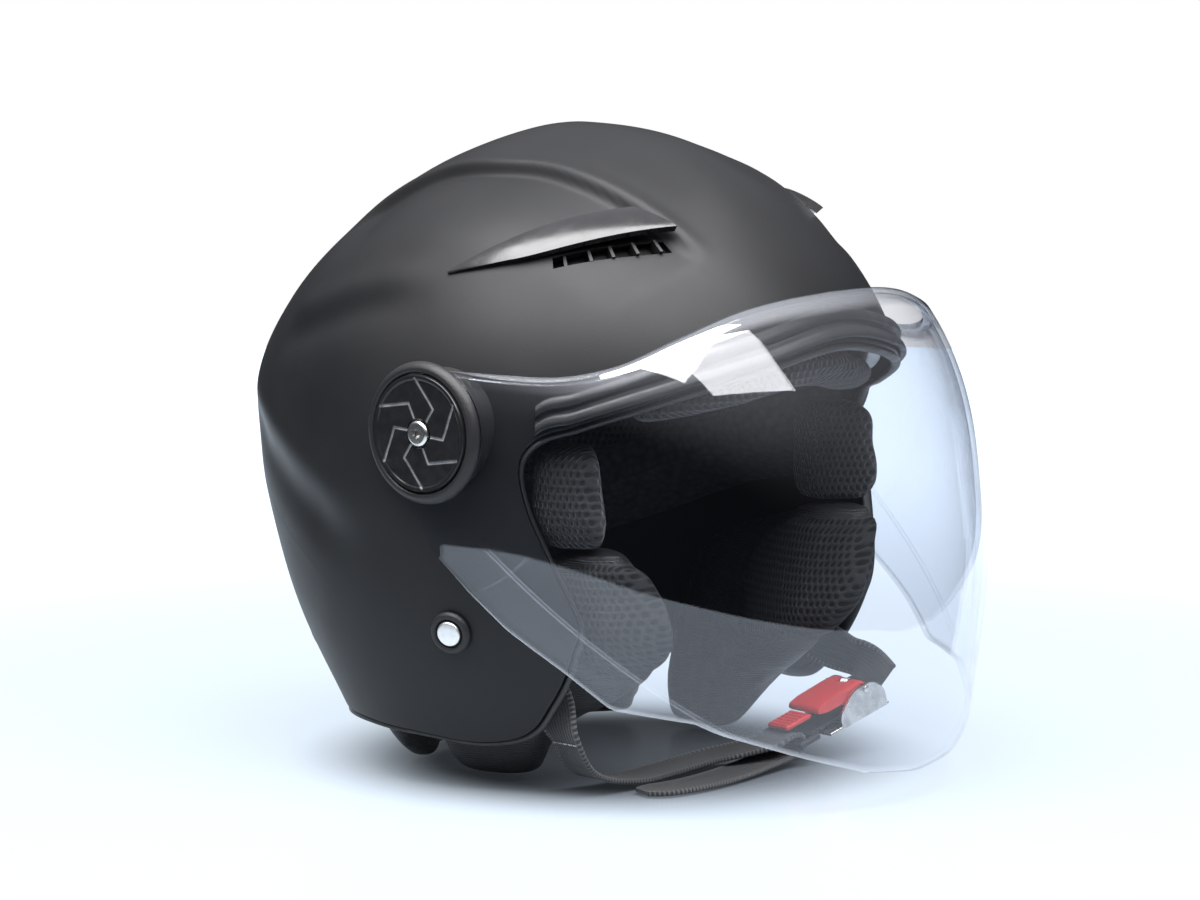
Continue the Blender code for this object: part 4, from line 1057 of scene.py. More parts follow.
def visor():
    """One closed sheet: the lens, its top flange and its two flat ears."""
    lens_at = np.sin(np.linspace(-pi / 2, pi / 2, VISOR_COLUMNS))
    ear_y = PIVOT_Y + EAR_RADIUS * 0.9995 - (VISOR_FLAT + EAR_RADIUS * 0.9995) * (
        1 - np.cos(np.linspace(0, pi / 2, EAR_COLUMNS)))
    columns = []

    def column(outer, inner, lip_share, inwards):
        bend = []
        for t in (0.25, 0.5, 0.75, 1.0):
            out = lip_share * LIP * t
            bend.append(outer[-1] + np.append(inwards * out, 1.5 * sin(t * pi / 2) * lip_share))
        under = [p - np.array([0, 0, VISOR_WALL]) for p in bend[::-1]]
        columns.append(np.vstack([outer, bend, under, inner[::-1][1:]]))

    def ear(side, places):
        for y in places:
            top, bottom = ear_edges(np.array([y]))
            heights = np.linspace(bottom[0], top[0], VISOR_ROWS)
            across, back = np.full(VISOR_ROWS, side * EAR_OUTSIDE), np.full(VISOR_ROWS, y)
            outer = SHELL_CENTRE + np.stack([across, back, heights], -1)
            column(outer, outer - np.array([side * VISOR_WALL, 0, 0]), 0.0, np.array([-side, 0.0]))

    ear(-1.0, ear_y[:-1])
    for sweep in lens_at:
        top = visor_profile(np.array(abs(sweep)), VISOR_TOP)
        bottom = np.interp(abs(sweep), *np.array(VISOR_BOTTOM).T)
        heights = np.linspace(bottom, top, VISOR_ROWS)
        outer = visor_point(np.full(VISOR_ROWS, sweep), heights, 0.0)
        inner = visor_point(np.full(VISOR_ROWS, sweep), heights, VISOR_WALL)
        inwards = SHELL_CENTRE[:2] + np.array([0.0, PIVOT_Y]) - outer[-1][:2]
        inwards /= np.linalg.norm(inwards)
        column(outer, inner, min(1.0, 6 * (1 - abs(sweep))), inwards)
    ear(1.0, ear_y[:-1][::-1])
    made = loft("clear_visor", columns, FINISH["visor"], smooth_angle=50.0)
    hole = [(0, 115), (EAR_HOLE, 115), (EAR_HOLE, 135), (0, 135)]
    combine(made, [turned("ear_hole", hole, FINISH["visor"], side_frame(side), 48)
                   for side, _ in SIDES])
    points = points_of(made)
    polish = np.zeros(len(points))
    for row, reach in ((VISOR_ROWS - 1, 5.5), (0, 1.4)):
        rim = np.array([column[row] for column in columns])
        gap = np.full(len(points), 1e3)
        for place in rim:
            gap = np.minimum(gap, np.linalg.norm(points - place, axis=1))
        polish = np.maximum(polish, smoothstep(reach, reach - 1.2, gap))
    mark(made, polish * smoothstep(PIVOT_Y + 15, -40, points[:, 1]), "edge")
    return piece(made, "visor", "visor_clear", "visor")


# --- pivots --------------------------------------------------------------------------------------
DISC_RINGS = 64
DISC_SPOKES = 360
DISC_HOLE = 5.6
BLADES = 6


def disc_line(radius, angle):
    """Distance in millimetres to the nearest of the disc's bent lines."""
    best = np.full(radius.shape, 9.0)
    for blade in range(BLADES):
        turn = 2 * pi * blade / BLADES + 0.35
        bend, end = 12.5, 21.5
        knots = [(5.5, turn), (bend, turn + 0.06), (end, turn + 0.78)]
        path = np.array([(r * cos(a), r * sin(a)) for r, a in knots])
        point = np.stack([radius * np.cos(angle), radius * np.sin(angle)], -1)
        for start, stop in zip(path, path[1:]):
            along = stop - start
            t = np.clip(((point - start) @ along) / (along @ along), 0, 1)
            best = np.minimum(best, np.linalg.norm(point - start - t[..., None] * along, axis=-1))
    return best


def pivot_cover(side, label):
    """The boss, the textured ring, the grooved disc and the hex-socket screw of one pivot."""
    place = side_frame(side)
    seat, boss = EAR_INSIDE - GAP, EAR_OUTSIDE + GAP
    base = turned("pivot_boss_" + label,
                  [(SCREW_BORE, PIVOT_BASE_INSIDE), (PIVOT_BASE_RADIUS, PIVOT_BASE_INSIDE),
                   (PIVOT_BASE_RADIUS, PIVOT_BASE_OUTSIDE), (PIVOT_SEAT_RADIUS, PIVOT_BASE_OUTSIDE),
                   (PIVOT_SEAT_RADIUS, seat), (PIVOT_BOSS_RADIUS, seat), (PIVOT_BOSS_RADIUS, boss),
                   (SCREW_BORE, boss)], FINISH["satin"], place, 128, 0.3)
    piece(base, "helmet", "satin_black", "pivot_base_" + label)
    low, high = EAR_OUTSIDE + 0.5, PIVOT_CAP_OUTSIDE - 0.8
    inner, outer = PIVOT_CAP_RADIUS + 0.4, PIVOT_RING_RADIUS
    profile = [(inner, low), (outer, low), (outer, low + 1.6), (outer - 1.0, high - 1.0),
               (outer - 2.4, high), (inner + 0.8, high), (inner, high - 0.7)]
    ring = turned("pivot_outer_ring_" + label, profile, FINISH["ring"], place, 160, 0.8)
    piece(ring, "helmet", "satin_black", "pivot_ring_" + label)

    radius = np.concatenate([[DISC_HOLE], np.linspace(6.0, PIVOT_CAP_RADIUS - 0.5, DISC_RINGS),
                             [PIVOT_CAP_RADIUS]])
    angle = np.linspace(0, 2 * pi, DISC_SPOKES, endpoint=False)
    r, a = np.meshgrid(radius, angle, indexing="ij")
    gap = disc_line(r, a)
    groove = np.exp(-(gap / 0.42) ** 2)
    sector = np.sin(a * BLADES + (r - 12) * 0.25) * 0.12 * smoothstep(6, 14, r)
    top = PIVOT_CAP_OUTSIDE - 0.35 * ((r / PIVOT_CAP_RADIUS) ** 2) + sector - 0.45 * groove
    top += 0.5 * smoothstep(PIVOT_CAP_RADIUS - 2.4, PIVOT_CAP_RADIUS - 1.7, r) - 0.5
    top[-1] -= 0.7
    top[0] -= 1.6
    face = np.stack([r * np.cos(a), r * np.sin(a), top], -1)
    floor_height = EAR_OUTSIDE + 2.0
    back = [np.stack([rr * np.cos(angle), rr * np.sin(angle), np.full(DISC_SPOKES, floor_height)], -1)
            for rr in (PIVOT_CAP_RADIUS, DISC_HOLE)]
    rings = np.concatenate([face, np.array(back)])
    faces = grid_faces(len(rings), DISC_SPOKES, wrap_rows=True)
    disc = mesh_object("pivot_disc_" + label, rings.reshape(-1, 3), faces, FINISH["disc"], 50.0, place)
    # The mask for the painted highlight along the disc's moulded lines.
    line = np.concatenate([smoothstep(0.62, 0.25, gap).reshape(-1), np.zeros(2 * DISC_SPOKES)])
    mark(disc, line, "line")
    piece(disc, "helmet", "gloss_black", "pivot_cap_" + label)

    head = PIVOT_CAP_OUTSIDE - 1.6
    shank = [(0, 111), (2.4, 111), (2.4, head), (5.1, head), (5.1, head + 1.5), (4.3, head + 2.3),
             (0, head + 2.3)]
    screw = turned("pivot_socket_screw_" + label, shank, FINISH["steel"], place, 72, 0.45)
    socket = turned("socket", [(0, head + 0.5), (2.0, head + 0.5), (2.0, head + 4), (0, head + 4)],
                    FINISH["steel"], place, 6)
    combine(screw, [socket])
    piece(screw, "helmet", "bright_steel", "pivot_screw_" + label)


# --- rivets --------------------------------------------------------------------------------------
def rivets():
    for place in RIVETS:
        frame_here = rivet_frame(place)
        cup = [(2.6, 0.3), (8.6, 0.3), (8.7, 1.4), (7.6, 2.7), (6.0, 2.8), (5.6, 1.5), (2.6, 1.4)]
        washer = turned("rivet_cup_" + place, cup, FINISH["satin"], frame_here, 96, 0.6)
        piece(washer, "helmet", "trim_rubber", "rivet_washer_" + place)
        cap = [(0, -5.6), (2.2, -5.6), (2.2, 1.7), (5.0, 1.7), (5.0, 2.8), (4.5, 3.3), (2.5, 3.55),
               (0, 3.6)]
        rivet = turned("rivet_head_" + place, cap, FINISH["aluminium"], frame_here, 72, 0.4)
        piece(rivet, "helmet", "satin_aluminium", "rivet_" + place)


# --- padded pieces -------------------------------------------------------------------------------
VOXEL = 4.5
CLOTH_FRAMES = 20
PRESSURE = 4.0
PAD_FOOT = 0.15


def applied(made, kind, **settings):
    """Adds a modifier with these settings and applies it."""
    change = made.modifiers.new(kind.lower(), kind)
    for name, value in settings.items():
        setattr(change, name, value)
    bpy.context.view_layer.update()
    return baked(made)


def puffed(made, cap, pressure=PRESSURE, voxel=VOXEL):
    """Remeshes a pad evenly and swells it as cloth, no point moving more than `cap` millimetres."""
    applied(made, "REMESH", mode="VOXEL", voxel_size=voxel * METRES)
    applied(made, "SMOOTH", iterations=3)
    before = points_of(made)
    cloth = made.modifiers.new("cloth", "CLOTH")
    cloth.settings.quality = 4
    cloth.settings.mass = 0.3
    cloth.settings.use_pressure = True
    cloth.settings.uniform_pressure_force = pressure
    cloth.settings.effector_weights.gravity = 0.0
    for step in range(1, CLOTH_FRAMES + 1):
        bpy.context.scene.frame_set(step)
    swollen = evaluated_copy(made)
    made.modifiers.clear()
    bpy.context.scene.frame_set(1)
    after = np.zeros(len(swollen.vertices) * 3, np.float32)
    swollen.vertices.foreach_get("co", after)
    after = after.reshape(-1, 3) / METRES
    move = after - before
    length = np.linalg.norm(move, axis=1, keepdims=True)
    move *= np.minimum(1.0, cap / np.maximum(length, 1e-6))
    put_points(made, before + move)
    applied(made, "SUBSURF", levels=1, render_levels=1)
    made.data.shade_smooth()
    return made


def wall_places(points):
    """Bearing (degrees) and height of points, and their distance from the middle line."""
    away = points - SHELL_CENTRE
    return np.degrees(np.arctan2(away[:, 0], -away[:, 1])), away[:, 2], np.hypot(away[:, 0], away[:, 1])


def cloth_places(made):
    """Pattern coordinates that run level and upright along the wall."""
    points = points_of(made)
    bearing, height, reach = wall_places(points)
    level = np.radians(np.abs(bearing)) * 88.0 - reach
    return lay_out(made, np.stack([level, height, reach], 1))


def pressed(made, depth, lines, width=1.5):
    """Presses sewn seams into a pad: each line gives signed distances from (bearing, height)."""
    points = points_of(made)
    bearing, height, _ = wall_places(points)
    normals = np.zeros(len(made.data.vertices) * 3, np.float32)
    made.data.vertices.foreach_get("normal", normals)
    push = np.zeros(len(points))
    for line in lines:
        push = np.maximum(push, np.exp(-(line(bearing, height) / width) ** 2))
    points -= normals.reshape(-1, 3) * (push * depth)[:, None]
    return put_points(made, points)


def crescent(name, side, stations, finish, steps=21):
    """A pad along the shell wall, from level sections.

    Each station is (height, front and back bearing, inset, depth, swell). The swell is how much
    further out the pad reaches where it stands clear of the shell's edge.
    """
    stations = np.array(stations, float)
    fine = np.linspace(stations[0, 0], stations[-1, 0], 26)
    columns = [curve_through(-fine, -stations[:, 0], stations[:, k]) for k in range(1, 6)]
    sections = []
    for height, front, back, inset, depth, swell in zip(fine, *columns):
        along = np.linspace(0.02, 0.98, steps)
        bearing = front + (back - front) * along
        out = max(swell, 0) * np.clip((PAD_CLEAR_BEARING - bearing) / PAD_SWELL_SPAN, 0, 1)
        round_off = np.sqrt(1 - (2 * along - 1) ** 4)
        middle = inset + (depth - out) / 2
        half = (depth + out) / 2 * round_off
        outer = wall_point(side * bearing, height, middle - half)
        inner = wall_point(side * bearing, height, middle + half)
        sections.append(np.vstack([outer, inner[::-1]]))
    return loft(name, sections, finish)


def temple_pad(side, label):
    stations = [(6.5, 47.5, 58, 14, 17, 2), (2.5, 46.5, 59.5, 9, 26, 4), (-10, 46, 60.5, 8.5, 27, 5),
                (-28, 45, 59, 8.5, 27, 6), (-34, 46, 57, 11.5, 22, 4)]
    made = puffed(crescent("temple_cushion_" + label, side, stations, FINISH["mesh"]), 2.0, voxel=3.0)
    cloth_places(made)
    return piece(made, "helmet", "spacer_mesh", "temple_pad_" + label)


def mesh_oval(bearing, height):
    """Signed distance in millimetres, roughly, from the mesh panel's seam on a cheek pad."""
    level = (np.abs(bearing) - 41.0) * 1.9 - 0.25 * (height + 66)
    rise = height + 64.0
    return (np.sqrt((level / 27.0) ** 2 + (rise / 25.0) ** 2) - 1) * 26.0


def cheek_pad(side, label):
    stations = [(-35.2, 42, 54, 13, 24, 4), (-39, 39, 55, 12, 29, 7), (-50, 33.5, 82, 14, 33, 9),
                (-68, 28.5, 94, 14, 36, 10), (-82, 28, 96, 15, 34.5, 5), (-93, 32.5, 98, 17, 31, 0),
                (-103, 40.5, 98, 18.5, 27, 0), (-112, 51, 98, 19.5, 24.5, 0), (-127, 60, 95, 20.5, 21, 0),
                (FLOOR + 1.6, 63, 91, 22.5, 17, 0)]
    made = puffed(crescent("cheek_cushion_" + label, side, stations, FINISH["leather"]), 2.4)
    pressed(made, 1.5, [mesh_oval], 1.7)
    cloth_places(made)
    bearing, height, _ = wall_places(points_of(made))
    mark(made, smoothstep(0.8, -0.8, mesh_oval(bearing, height)), "mesh")
    keep_above_floor(made)
    return piece(made, "helmet", "leatherette", "cheek_pad_" + label)


def keep_above_floor(made):
    """A pad that stands on the floor is flat there."""
    points = points_of(made)
    points[:, 2] = np.maximum(points[:, 2], PAD_FOOT)
    put_points(made, points)


def neck_roll():
    bearings = np.linspace(109, 251, 90)
    foot = FLOOR + 1.4
    outline = rounded([(11.0, -86.0), (11.0, -108.0), (14.0, -127.0), (18.5, foot), (27.5, foot),
                       (34.0, -124.0), (36.0, -101.0), (31.5, -86.0)], 6.0, 4)
    sections = np.stack([wall_point(bearings, height, inset) for inset, height in outline], 1)
    made = puffed(loft("neck_cushion", sections, FINISH["leather"]), 2.4)

    pressed(made, 1.4, [lambda _, height: height + 108.0], 1.6)
    cloth_places(made)
    mark(made, np.zeros(len(made.data.vertices)), "mesh")
    keep_above_floor(made)
    return piece(made, "helmet", "leatherette", "neck_roll")


def brow_band(name, reach, steps, outline, finish, end_height=1.0):
    """A band along the brow; the outline lists (inset, height above the shell's edge)."""
    bearings = np.linspace(-reach, reach, steps)
    edge = brow_height(bearings)
    scale = 1 - (1 - end_height) * (bearings / reach) ** 2
    sections = np.stack([wall_point(bearings, edge + rise * scale, inset)
                         for inset, rise in outline], 1)
    return loft(name, sections, finish)


def brow_pieces():
    # Two rounded ridges with a groove between them.
    seal = rounded([(-0.4, 1.5), (-3.4, 1.5), (-3.9, 3.0), (-3.4, 5.6), (-1.6, 6.6), (-1.6, 7.6),
                    (-3.6, 8.8), (-4.1, 10.8), (-3.4, 13.0), (-0.4, 13.0)], 0.9, 4)
    made = brow_band("brow_seal_strip", 58.0, 160, seal, FINISH["rubber"])
    piece(made, "helmet", "trim_rubber", "brow_seal")
    plate = rounded([(6.0, 1.0), (8.0, 0.0), (23.0, 1.0), (23.0, 2.6), (7.8, 2.2)], 0.5, 3)
    made = brow_band("brow_plate", 55.0, 120, plate, FINISH["gloss"])
    piece(made, "helmet", "gloss_black", "brow_retainer")
    outline = rounded([(11.0, -4.0), (24.0, -3.0), (36.0, 1.5), (41.0, -6.0), (36.5, -17.0),
                       (24.0, -20.0), (13.5, -14.5)], 5.0, 4)
    pad = puffed(brow_band("brow_cushion", 39.5, 90, outline, FINISH["mesh"], 0.6), 2.0, voxel=3.8)
    cloth_places(pad)
    piece(pad, "helmet", "spacer_mesh", "brow_pad")


def crown_lining():
    """The quilted mesh lining over the crown: a layer with sewn channels."""
    turn, tilt = edge_angles(LINER_EDGE)
    columns, rows = 144, 60
    turns = even_turns(LINER_EDGE, columns)
    limit = curve_through(np.abs(turns), turn, tilt) * 0.84
    outer, inner = SHELL_WALL + 29.6, SHELL_WALL + 37.6
    rings = []
    for inset, order in ((outer, 1), (inner, -1)):
        for step in np.linspace(0, 1, rows + 1)[1:][::order]:
            rings.append(on_shell(pole_direction(turns, limit * step), inset))
    rings = np.array(rings)
    away = rings - SHELL_CENTRE
    unit = away / np.linalg.norm(away, axis=-1, keepdims=True)
    bearing = np.arctan2(away[..., 0], -away[..., 1])
    channel = np.exp(-(np.sin(bearing * 4) / 0.09) ** 2)
    swell = np.where(np.arange(2 * rows)[:, None] >= rows, 1.0, 0.0) * (1 - 1.9 * channel)
    rings -= unit * swell[..., None]
    made = dome("crown_lining", on_shell(POLE[None], outer), rings, on_shell(POLE[None], inner),
                FINISH["lining"], 60.0)
    cloth_places(made)
    return piece(made, "helmet", "spacer_mesh", "comfort_liner")


# --- straps --------------------------------------------------------------------------------------
def strap_section(width, thickness):
    """Across the strap: (across, out of its face, 1 on the sewn edge). The edges are rolled beads."""
    half, bead = width / 2, thickness * 0.5
    outline = []
    for side in (1, -1):
        middle = side * (half - bead)
        for a in np.linspace(-pi * 0.75, pi * 0.75, 9):
            angle = a if side > 0 else a + pi
            outline.append((middle + bead * cos(angle), bead * sin(angle), 1.0))
        inner = middle - side * bead * 1.2
        outline.append((inner, side * bead * 0.62, 0.0))
        outline.append((inner - side * (half - 2 * bead) * 0.9, side * bead * 0.72, 0.0))
        outline.append((-inner, side * bead * 0.62, 0.0))
    return np.array(outline)


def strap(name, route, across, steps, tip):
    """Webbing along a route, its edges beaded, narrowing to `tip` of its width at the end."""
    at = np.linspace(0, 1, steps)
    centre = smooth_path(route, at)
    ahead = np.gradient(centre, axis=0)
    step_length = np.linalg.norm(ahead, axis=1)
    ahead /= step_length[:, None]
    wide = smooth_path(across, at)
    wide -= ahead * np.sum(wide * ahead, -1, keepdims=True)
    wide /= np.linalg.norm(wide, axis=-1, keepdims=True)
    face = np.cross(ahead, wide)
    along = np.cumsum(step_length)
    outline = strap_section(STRAP_WIDTH, STRAP_THICKNESS)
    narrow = np.ones(steps)
    rounding = smoothstep(along[-1], along[-1] - 9.0, along)
    if tip < 1:
        narrow = tip + (1 - tip) * np.sqrt(np.clip(rounding, 0, 1))
    beads = 1 + 0.10 * np.sin(along * 2 * pi / 1.7)
    sections, cloth = [], []
    for k in range(steps):
        rows = []
        for a, b, edge in outline:
            grow = beads[k] if edge else 1.0
            rows.append(centre[k] + a * narrow[k] * wide[k] + b * grow * face[k])
            cloth.append((along[k], a, edge))
        sections.append(rows)
    made = loft(name, sections, FINISH["webbing"], smooth_angle=70.0)
    return lay_out(made, cloth)


# One stitch: place along it, rise and thickness, in its length and the thread's radius.
STITCH = [(-0.5, -0.35, 0.4), (-0.42, 0.15, 0.9), (-0.2, 0.38, 1.0), (0.2, 0.38, 1.0),
          (0.42, 0.15, 0.9), (0.5, -0.35, 0.4)]


def stitches(name, places, normals, ahead, length=2.6, radius=0.28):
    """A row of thread stitches lying on a surface, joined into one object."""
    points, faces = [], []
    ring = 8
    for place, normal, along in zip(places, normals, ahead):
        side = np.cross(normal, along)
        start = len(points)
        for t, rise, size in STITCH:
            for a in np.linspace(0, 2 * pi, ring, endpoint=False):
                points.append(place + along * t * length
                              + normal * (rise * radius + radius * size * sin(a))
                              + side * radius * size * cos(a))
        faces += [tuple(start + k for k in face) for face in grid_faces(len(STITCH), ring)]
        faces.append(tuple(start + j for j in range(ring)))
        faces.append(tuple(start + (len(STITCH) - 1) * ring + j for j in range(ring)))
    return mesh_object(name, points, faces, FINISH["thread"])


def straps():
    """Both halves of the chin strap, each with a bar tack."""
    place = np.array(buckle_axes())
    origin, u, w, n = place[:3, 3] / METRES, place[:3, 0], place[:3, 1], place[:3, 2]
    turn = [origin + along * u + rise * n for along, rise in TONGUE_TURN]
    right_run = [*STRAP_RIGHT, *turn, *STRAP_TAIL]
    runs = ((-1, "right", right_run, 900, 0.55), (1, "left", STRAP_LEFT, 240, 1.0))
    for side, label, free, steps, tip in runs:
        drop = [wall_point(side * bearing, height, inset) for bearing, height, inset in STRAP_DROP]
        route = np.vstack([drop, free])
        across = np.tile(w, (len(route), 1))
        for i, (bearing, height, _) in enumerate(STRAP_DROP):
            across[i] = np.cross(route[i + 1] - route[i], wall_normal(side * bearing, height))
            across[i] /= np.linalg.norm(across[i]) * np.sign(across[i, 1])
        made = strap("chin_strap_" + label, route, across, steps, tip)
        piece(made, "helmet", "webbing", "strap_" + label)
        # A bar tack across the strap where it comes out from under the pad.
        at = (4.15 if side < 0 else 4.2) / (len(route) - 1)
        here = smooth_path(route, np.array([at - 0.002, at, at + 0.002]))
        forward = here[2] - here[0]
        forward /= np.linalg.norm(forward)
        wide = smooth_path(across, np.array([at]))[0]
        wide -= forward * (wide @ forward)
        wide /= np.linalg.norm(wide)
        up = np.cross(forward, wide)
        up *= np.sign(up @ (here[1] - np.array([0, 20.0, 60.0])))
        places = [here[1] + wide * offset + up * (STRAP_THICKNESS * 0.42)
                  for offset in np.linspace(-6.6, 6.6, 5)]
        made = stitches("strap_tack_" + label, places, [up] * 5, [wide] * 5)
        piece(made, "helmet", "webbing")


# --- buckle --------------------------------------------------------------------------------------
def buckle():
    """The quick-release buckle: its housing, red lever, pull tab, spring and tongue."""
    place = buckle_axes()
    pin_frame = place @ Matrix.Translation(Vector((LEVER_PIN[0], 0, LEVER_PIN[1])) * METRES)
    pin_frame = pin_frame @ Matrix.Rotation(radians(-90), 4, "X")

    plate = baked(block("buckle_housing", (34, 22, 1.4), (2, 0, -3.2), FINISH["steel"], place, 0.5))
    walls = []
    for edge in (-1, 1):
        outline = rounded([(-8, -3.7), (18, -3.7), (18, 4.0), (12.5, 9.1), (2.0, 9.1), (-8, 2.0)], 2.6, 6)
        sections = [[(x, edge * 10.3 + across, z) for x, z in outline] for across in (-0.7, 0.7)]
        walls.append(loft("wall", sections, FINISH["steel"], place=place))
    combine(plate, walls, "UNION")
    edge = plate.modifiers.new("worn edges", "BEVEL")
    edge.width, edge.segments, edge.angle_limit = 0.25 * METRES, 2, radians(50)
    piece(plate, "helmet", "bright_steel", "buckle_frame")

    body = block("buckle_block", (6.5, 18.4, 8), (15.9, 0, 2.2), FINISH["satin"], place, 1.2)
    piece(body, "helmet", "satin_black", "buckle_body")
    pin = turned("buckle_rivet_pin", [(0, -12.0), (1.4, -12.0), (1.4, 12.0), (0, 12.0)], FINISH["steel"],
                 pin_frame, 48, 0.35)
    piece(pin, "helmet", "bright_steel", "buckle_pin")

    # The lever: a curved red thumb piece, hollow over the spring, with a raised grip at its free end.
    outline = rounded([(-17.6, 6.6), (-17.0, 9.2), (-12.0, 10.4), (4.0, 10.9), (10.8, 10.0), (11.0, 5.0),
                       (2.0, 4.9), (-12.0, 5.0)], 2.2, 6)
    sections = []
    for across in np.linspace(-8.8, 8.8, 25):
        pinch = 1.1 * smoothstep(6.8, 8.8, abs(across)) ** 2
        sections.append([(x * (1 - 0.01 * pinch), across, 7.8 + (z - 7.8) * (1 - 0.16 * pinch))
                         for x, z in outline])
    lever = loft("buckle_thumb_lever", sections, FINISH["red"], place=place, smooth_angle=55.0)
    bore = turned("lever_bore", [(0, -16), (1.8, -16), (1.8, 16), (0, 16)], FINISH["red"], pin_frame, 32)
    room = baked(block("spring_room", (8, 6, 14), (8, 0, 7.6), FINISH["red"], place, 0.4))
    combine(lever, [bore, room])
    piece(lever, "lever", "red_plastic", "buckle_lever")

    # The ribbed pull tab.
    tab = baked(block("tab", (14, 12, 2.0), (-25.6, 0, 6.4), FINISH["red"], place, 0.7))
    ribs = []
    for k in range(6):
        bar = rounded([(-0.75, 0), (0.75, 0), (0.5, 1.0), (-0.5, 1.0)], 0.3, 3)
        at = -31.4 + k * 2.2
        sections = [[(at + x, across, 7.2 + z * 0.55) for x, z in bar] for across in (-5.0, 5.0)]
        ribs.append(loft("rib", sections, FINISH["red"], place=place))
    combine(tab, ribs, "UNION")
    tab.name = "lever_pull_tab"
    piece(tab, "lever", "red_plastic", "pull_tab")

    # The spring: a coil of wire round the pin.
    wire, turns_count, mean = 0.34, 5.5, 2.6
    sections = []
    for a in np.linspace(0, turns_count * 2 * pi, 260):
        middle = np.array([mean * cos(a), mean * sin(a), -2.0 + 4.0 * a / (turns_count * 2 * pi)])
        outwards = np.array([cos(a), sin(a), 0])
        sections.append([middle + wire * (cos(b) * outwards + sin(b) * np.array([0, 0, 1.0]))
                         for b in np.linspace(0, 2 * pi, 10, endpoint=False)])
    spring = loft("lever_coil_spring", sections, FINISH["steel"], place=pin_frame)
    piece(spring, "helmet", "bright_steel", "lever_spring")

    tongue = baked(block("buckle_plate_tongue", (26, 12, 1.8), (-9, 0, -0.6), FINISH["satin"], place, 0.5))
    loop = baked(block("loop", (11.5, 24, 2.6), (-26.5, 0, -0.6), FINISH["satin"], place, 1.1))
    combine(tongue, [loop], "UNION")
    combine(tongue, [baked(block("slot", (5.8, 20.0, 8), (-27.1, 0, -0.6), FINISH["satin"], place, 0.8))])
    piece(tongue, "helmet", "satin_black", "buckle_tongue")


# --- CAD nodes that keep their shape -------------------------------------------------------------
def keep_node(node, finish):
    made = frame["nodes"][node]
    made.data.materials.clear()
    made.data.materials.append(FINISH[finish])


def kept_nodes():
    keep_node("foam_liner", "foam")
    for _, label in SIDES:
        keep_node("pivot_washer_" + label, "steel")
        keep_node("visor_bush_" + label, "nylon")
        keep_node("strap_anchor_" + label, "steel")


# --- floor, light and camera ---------------------------------------------------------------------
VIEW_AZIMUTH, VIEW_ELEVATION, VIEW_DISTANCE = -51.0, 8.0, 2.3
VIEW_TARGET = Vector((0.0, 0.0085, 0.125))
FOCAL_LENGTH, SENSOR = 169.05, 36.0


def camera():
    turn, rise = radians(VIEW_AZIMUTH), radians(VIEW_ELEVATION)
    away = Vector((sin(turn) * cos(rise), -cos(turn) * cos(rise), sin(rise)))
    lens = bpy.data.cameras.new("camera")
    lens.lens = FOCAL_LENGTH
    lens.sensor_width = SENSOR
    lens.clip_end = 50.0
    made = bpy.data.objects.new("camera", lens)
    made.location = VIEW_TARGET + away * VIEW_DISTANCE
    made.rotation_euler = (-away).to_track_quat("-Z", "Y").to_euler()
    bpy.context.scene.collection.objects.link(made)
    bpy.context.scene.camera = made


def area_light(name, place, target, size, energy):
    light = bpy.data.lights.new(name, "AREA")
    light.shape = "RECTANGLE"
    light.size, light.size_y = size
    light.energy = energy
    made = bpy.data.objects.new(name, light)
    made.location = place
    made.rotation_euler = (Vector(target) - Vector(place)).to_track_quat("-Z", "Y").to_euler()
    bpy.context.scene.collection.objects.link(made)


# The table's edge, metres: just in front of the helmet and a metre behind it.
FLOOR_LIFT = -0.2
FLOOR_COLOUR, FLOOR_GLOW = (0.13, 0.145, 0.165), (0.78, 0.89, 1.0)
FLOOR_EDGE = [(-0.42, 0.36, 0), (-0.54, 0.1, 0), (-0.54, -0.1, 0), (-0.46, -0.23, 0), (-0.34, -0.33, 0),
              (-0.2, -0.385, 0), (-0.07, -0.40, 0), (0.08, -0.385, 0), (0.2, -0.33, 0), (0.6, -0.24, 0),
              (1.1, 0.1, 0), (1.2, 0.7, 0), (0.8, 1.1, 0), (0.1, 0.95, 0), (-0.42, 0.36, 0)]


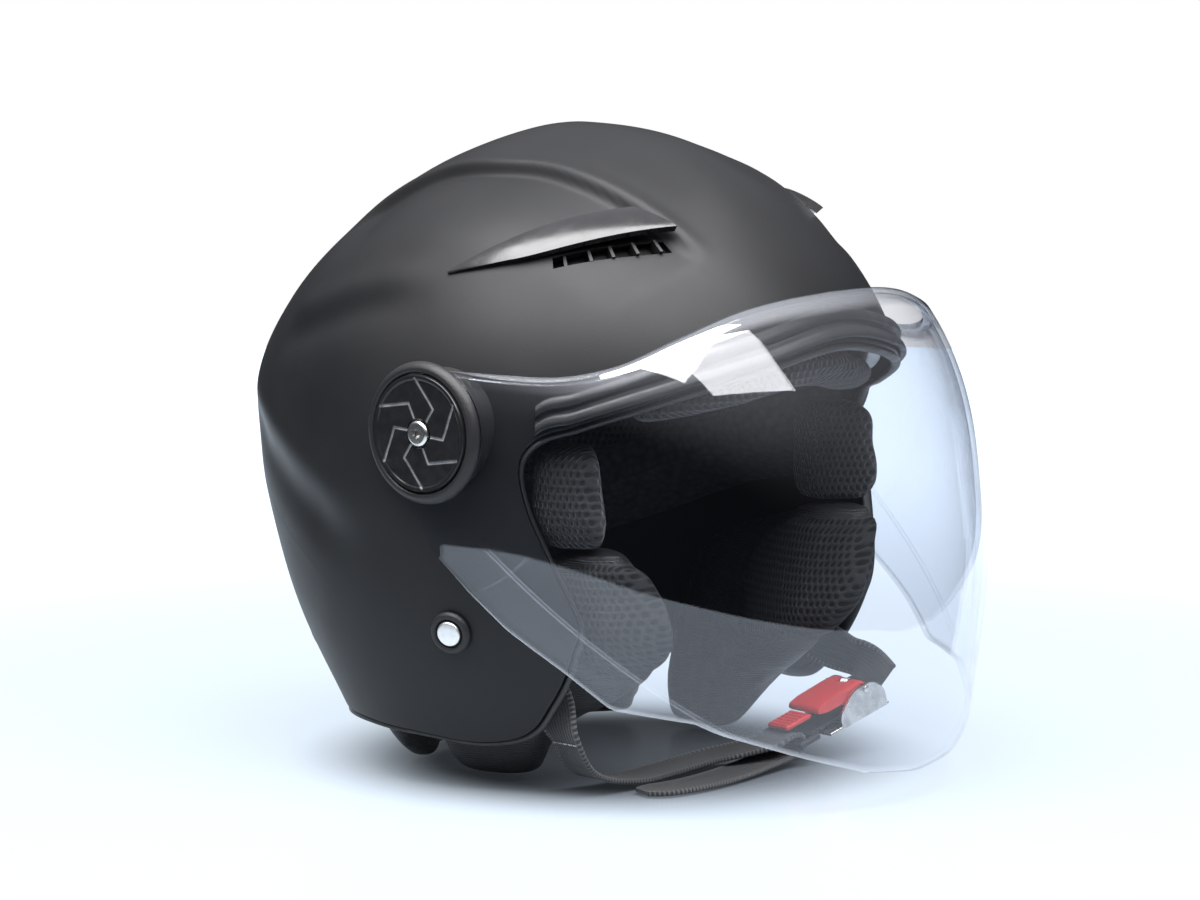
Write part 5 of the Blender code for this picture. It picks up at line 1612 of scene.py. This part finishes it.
def floor():
    """A round-edged table. Its pale look is mostly glow, so that it meets the white world unseen."""
    outline = smooth_path(FLOOR_EDGE, np.linspace(0, 1, 90)[:-1])
    points = [(x / METRES, y / METRES, FLOOR_LIFT) for x, y, _ in outline]
    finish, tree, shader = new_material("pale_floor", FLOOR_COLOUR, 0.2)
    far = vector_calc(tree, "LENGTH", millimetres(tree))
    # Painted shadow: the glow is dark under the helmet and pale just past it; it turns white towards the
    # edge.
    glow = calc(tree, "ADD", ramp(tree, far, 70.0, 140.0, 0.02, 0.80),
                ramp(tree, far, 300.0, 900.0, 0.0, 0.6))
    plug(tree, shader.inputs["Emission Color"], (*FLOOR_GLOW, 1.0))
    plug(tree, shader.inputs["Emission Strength"], glow)
    made = mesh_object("floor", points, [tuple(range(len(points)))], finish)


HORIZON_COLOUR, ZENITH_COLOUR = (0.03, 0.033, 0.04), (0.9, 0.92, 0.97)

# Name, place, what it points at (metres), size and power of each soft box.
LIGHTS = [("top_box", (-0.5, -0.2, 1.78), (0, 0, 0.13), (2.3, 1.6), 128),
          ("visor_box", (0.02, -1.11, 1.28), (-0.065, -0.11, 0.17), (0.9, 0.5), 11)]


def world():
    """White to the camera; for everything else bright overhead and dark round the horizon."""
    made = bpy.data.worlds.new("studio")
    bpy.context.scene.world = made
    made.use_nodes = True
    tree = made.node_tree
    background = tree.nodes["Background"]
    path = tree.nodes.new("ShaderNodeLightPath")
    direction = tree.nodes.new("ShaderNodeTexCoord").outputs["Generated"]
    _, _, upwards = parts_of(tree, direction)
    sky = blend_colour(tree, ramp(tree, upwards, 0.1, 0.9), HORIZON_COLOUR, ZENITH_COLOUR)
    seen = blend_colour(tree, path.outputs["Is Camera Ray"], sky, (1.0, 1.0, 1.0))
    plug(tree, background.inputs["Color"], seen)


def studio():
    bpy.context.scene.view_settings.view_transform = "Standard"
    floor()
    world()
    camera()
    for light in LIGHTS:
        area_light(*light)


studio()
outer_shell()
edge_trim()
visor()
for side, label in SIDES:
    pivot_cover(side, label)
    vents(side, label)
    temple_pad(side, label)
    cheek_pad(side, label)
rivets()
brow_pieces()
crown_lining()
neck_roll()
straps()
buckle()
kept_nodes()
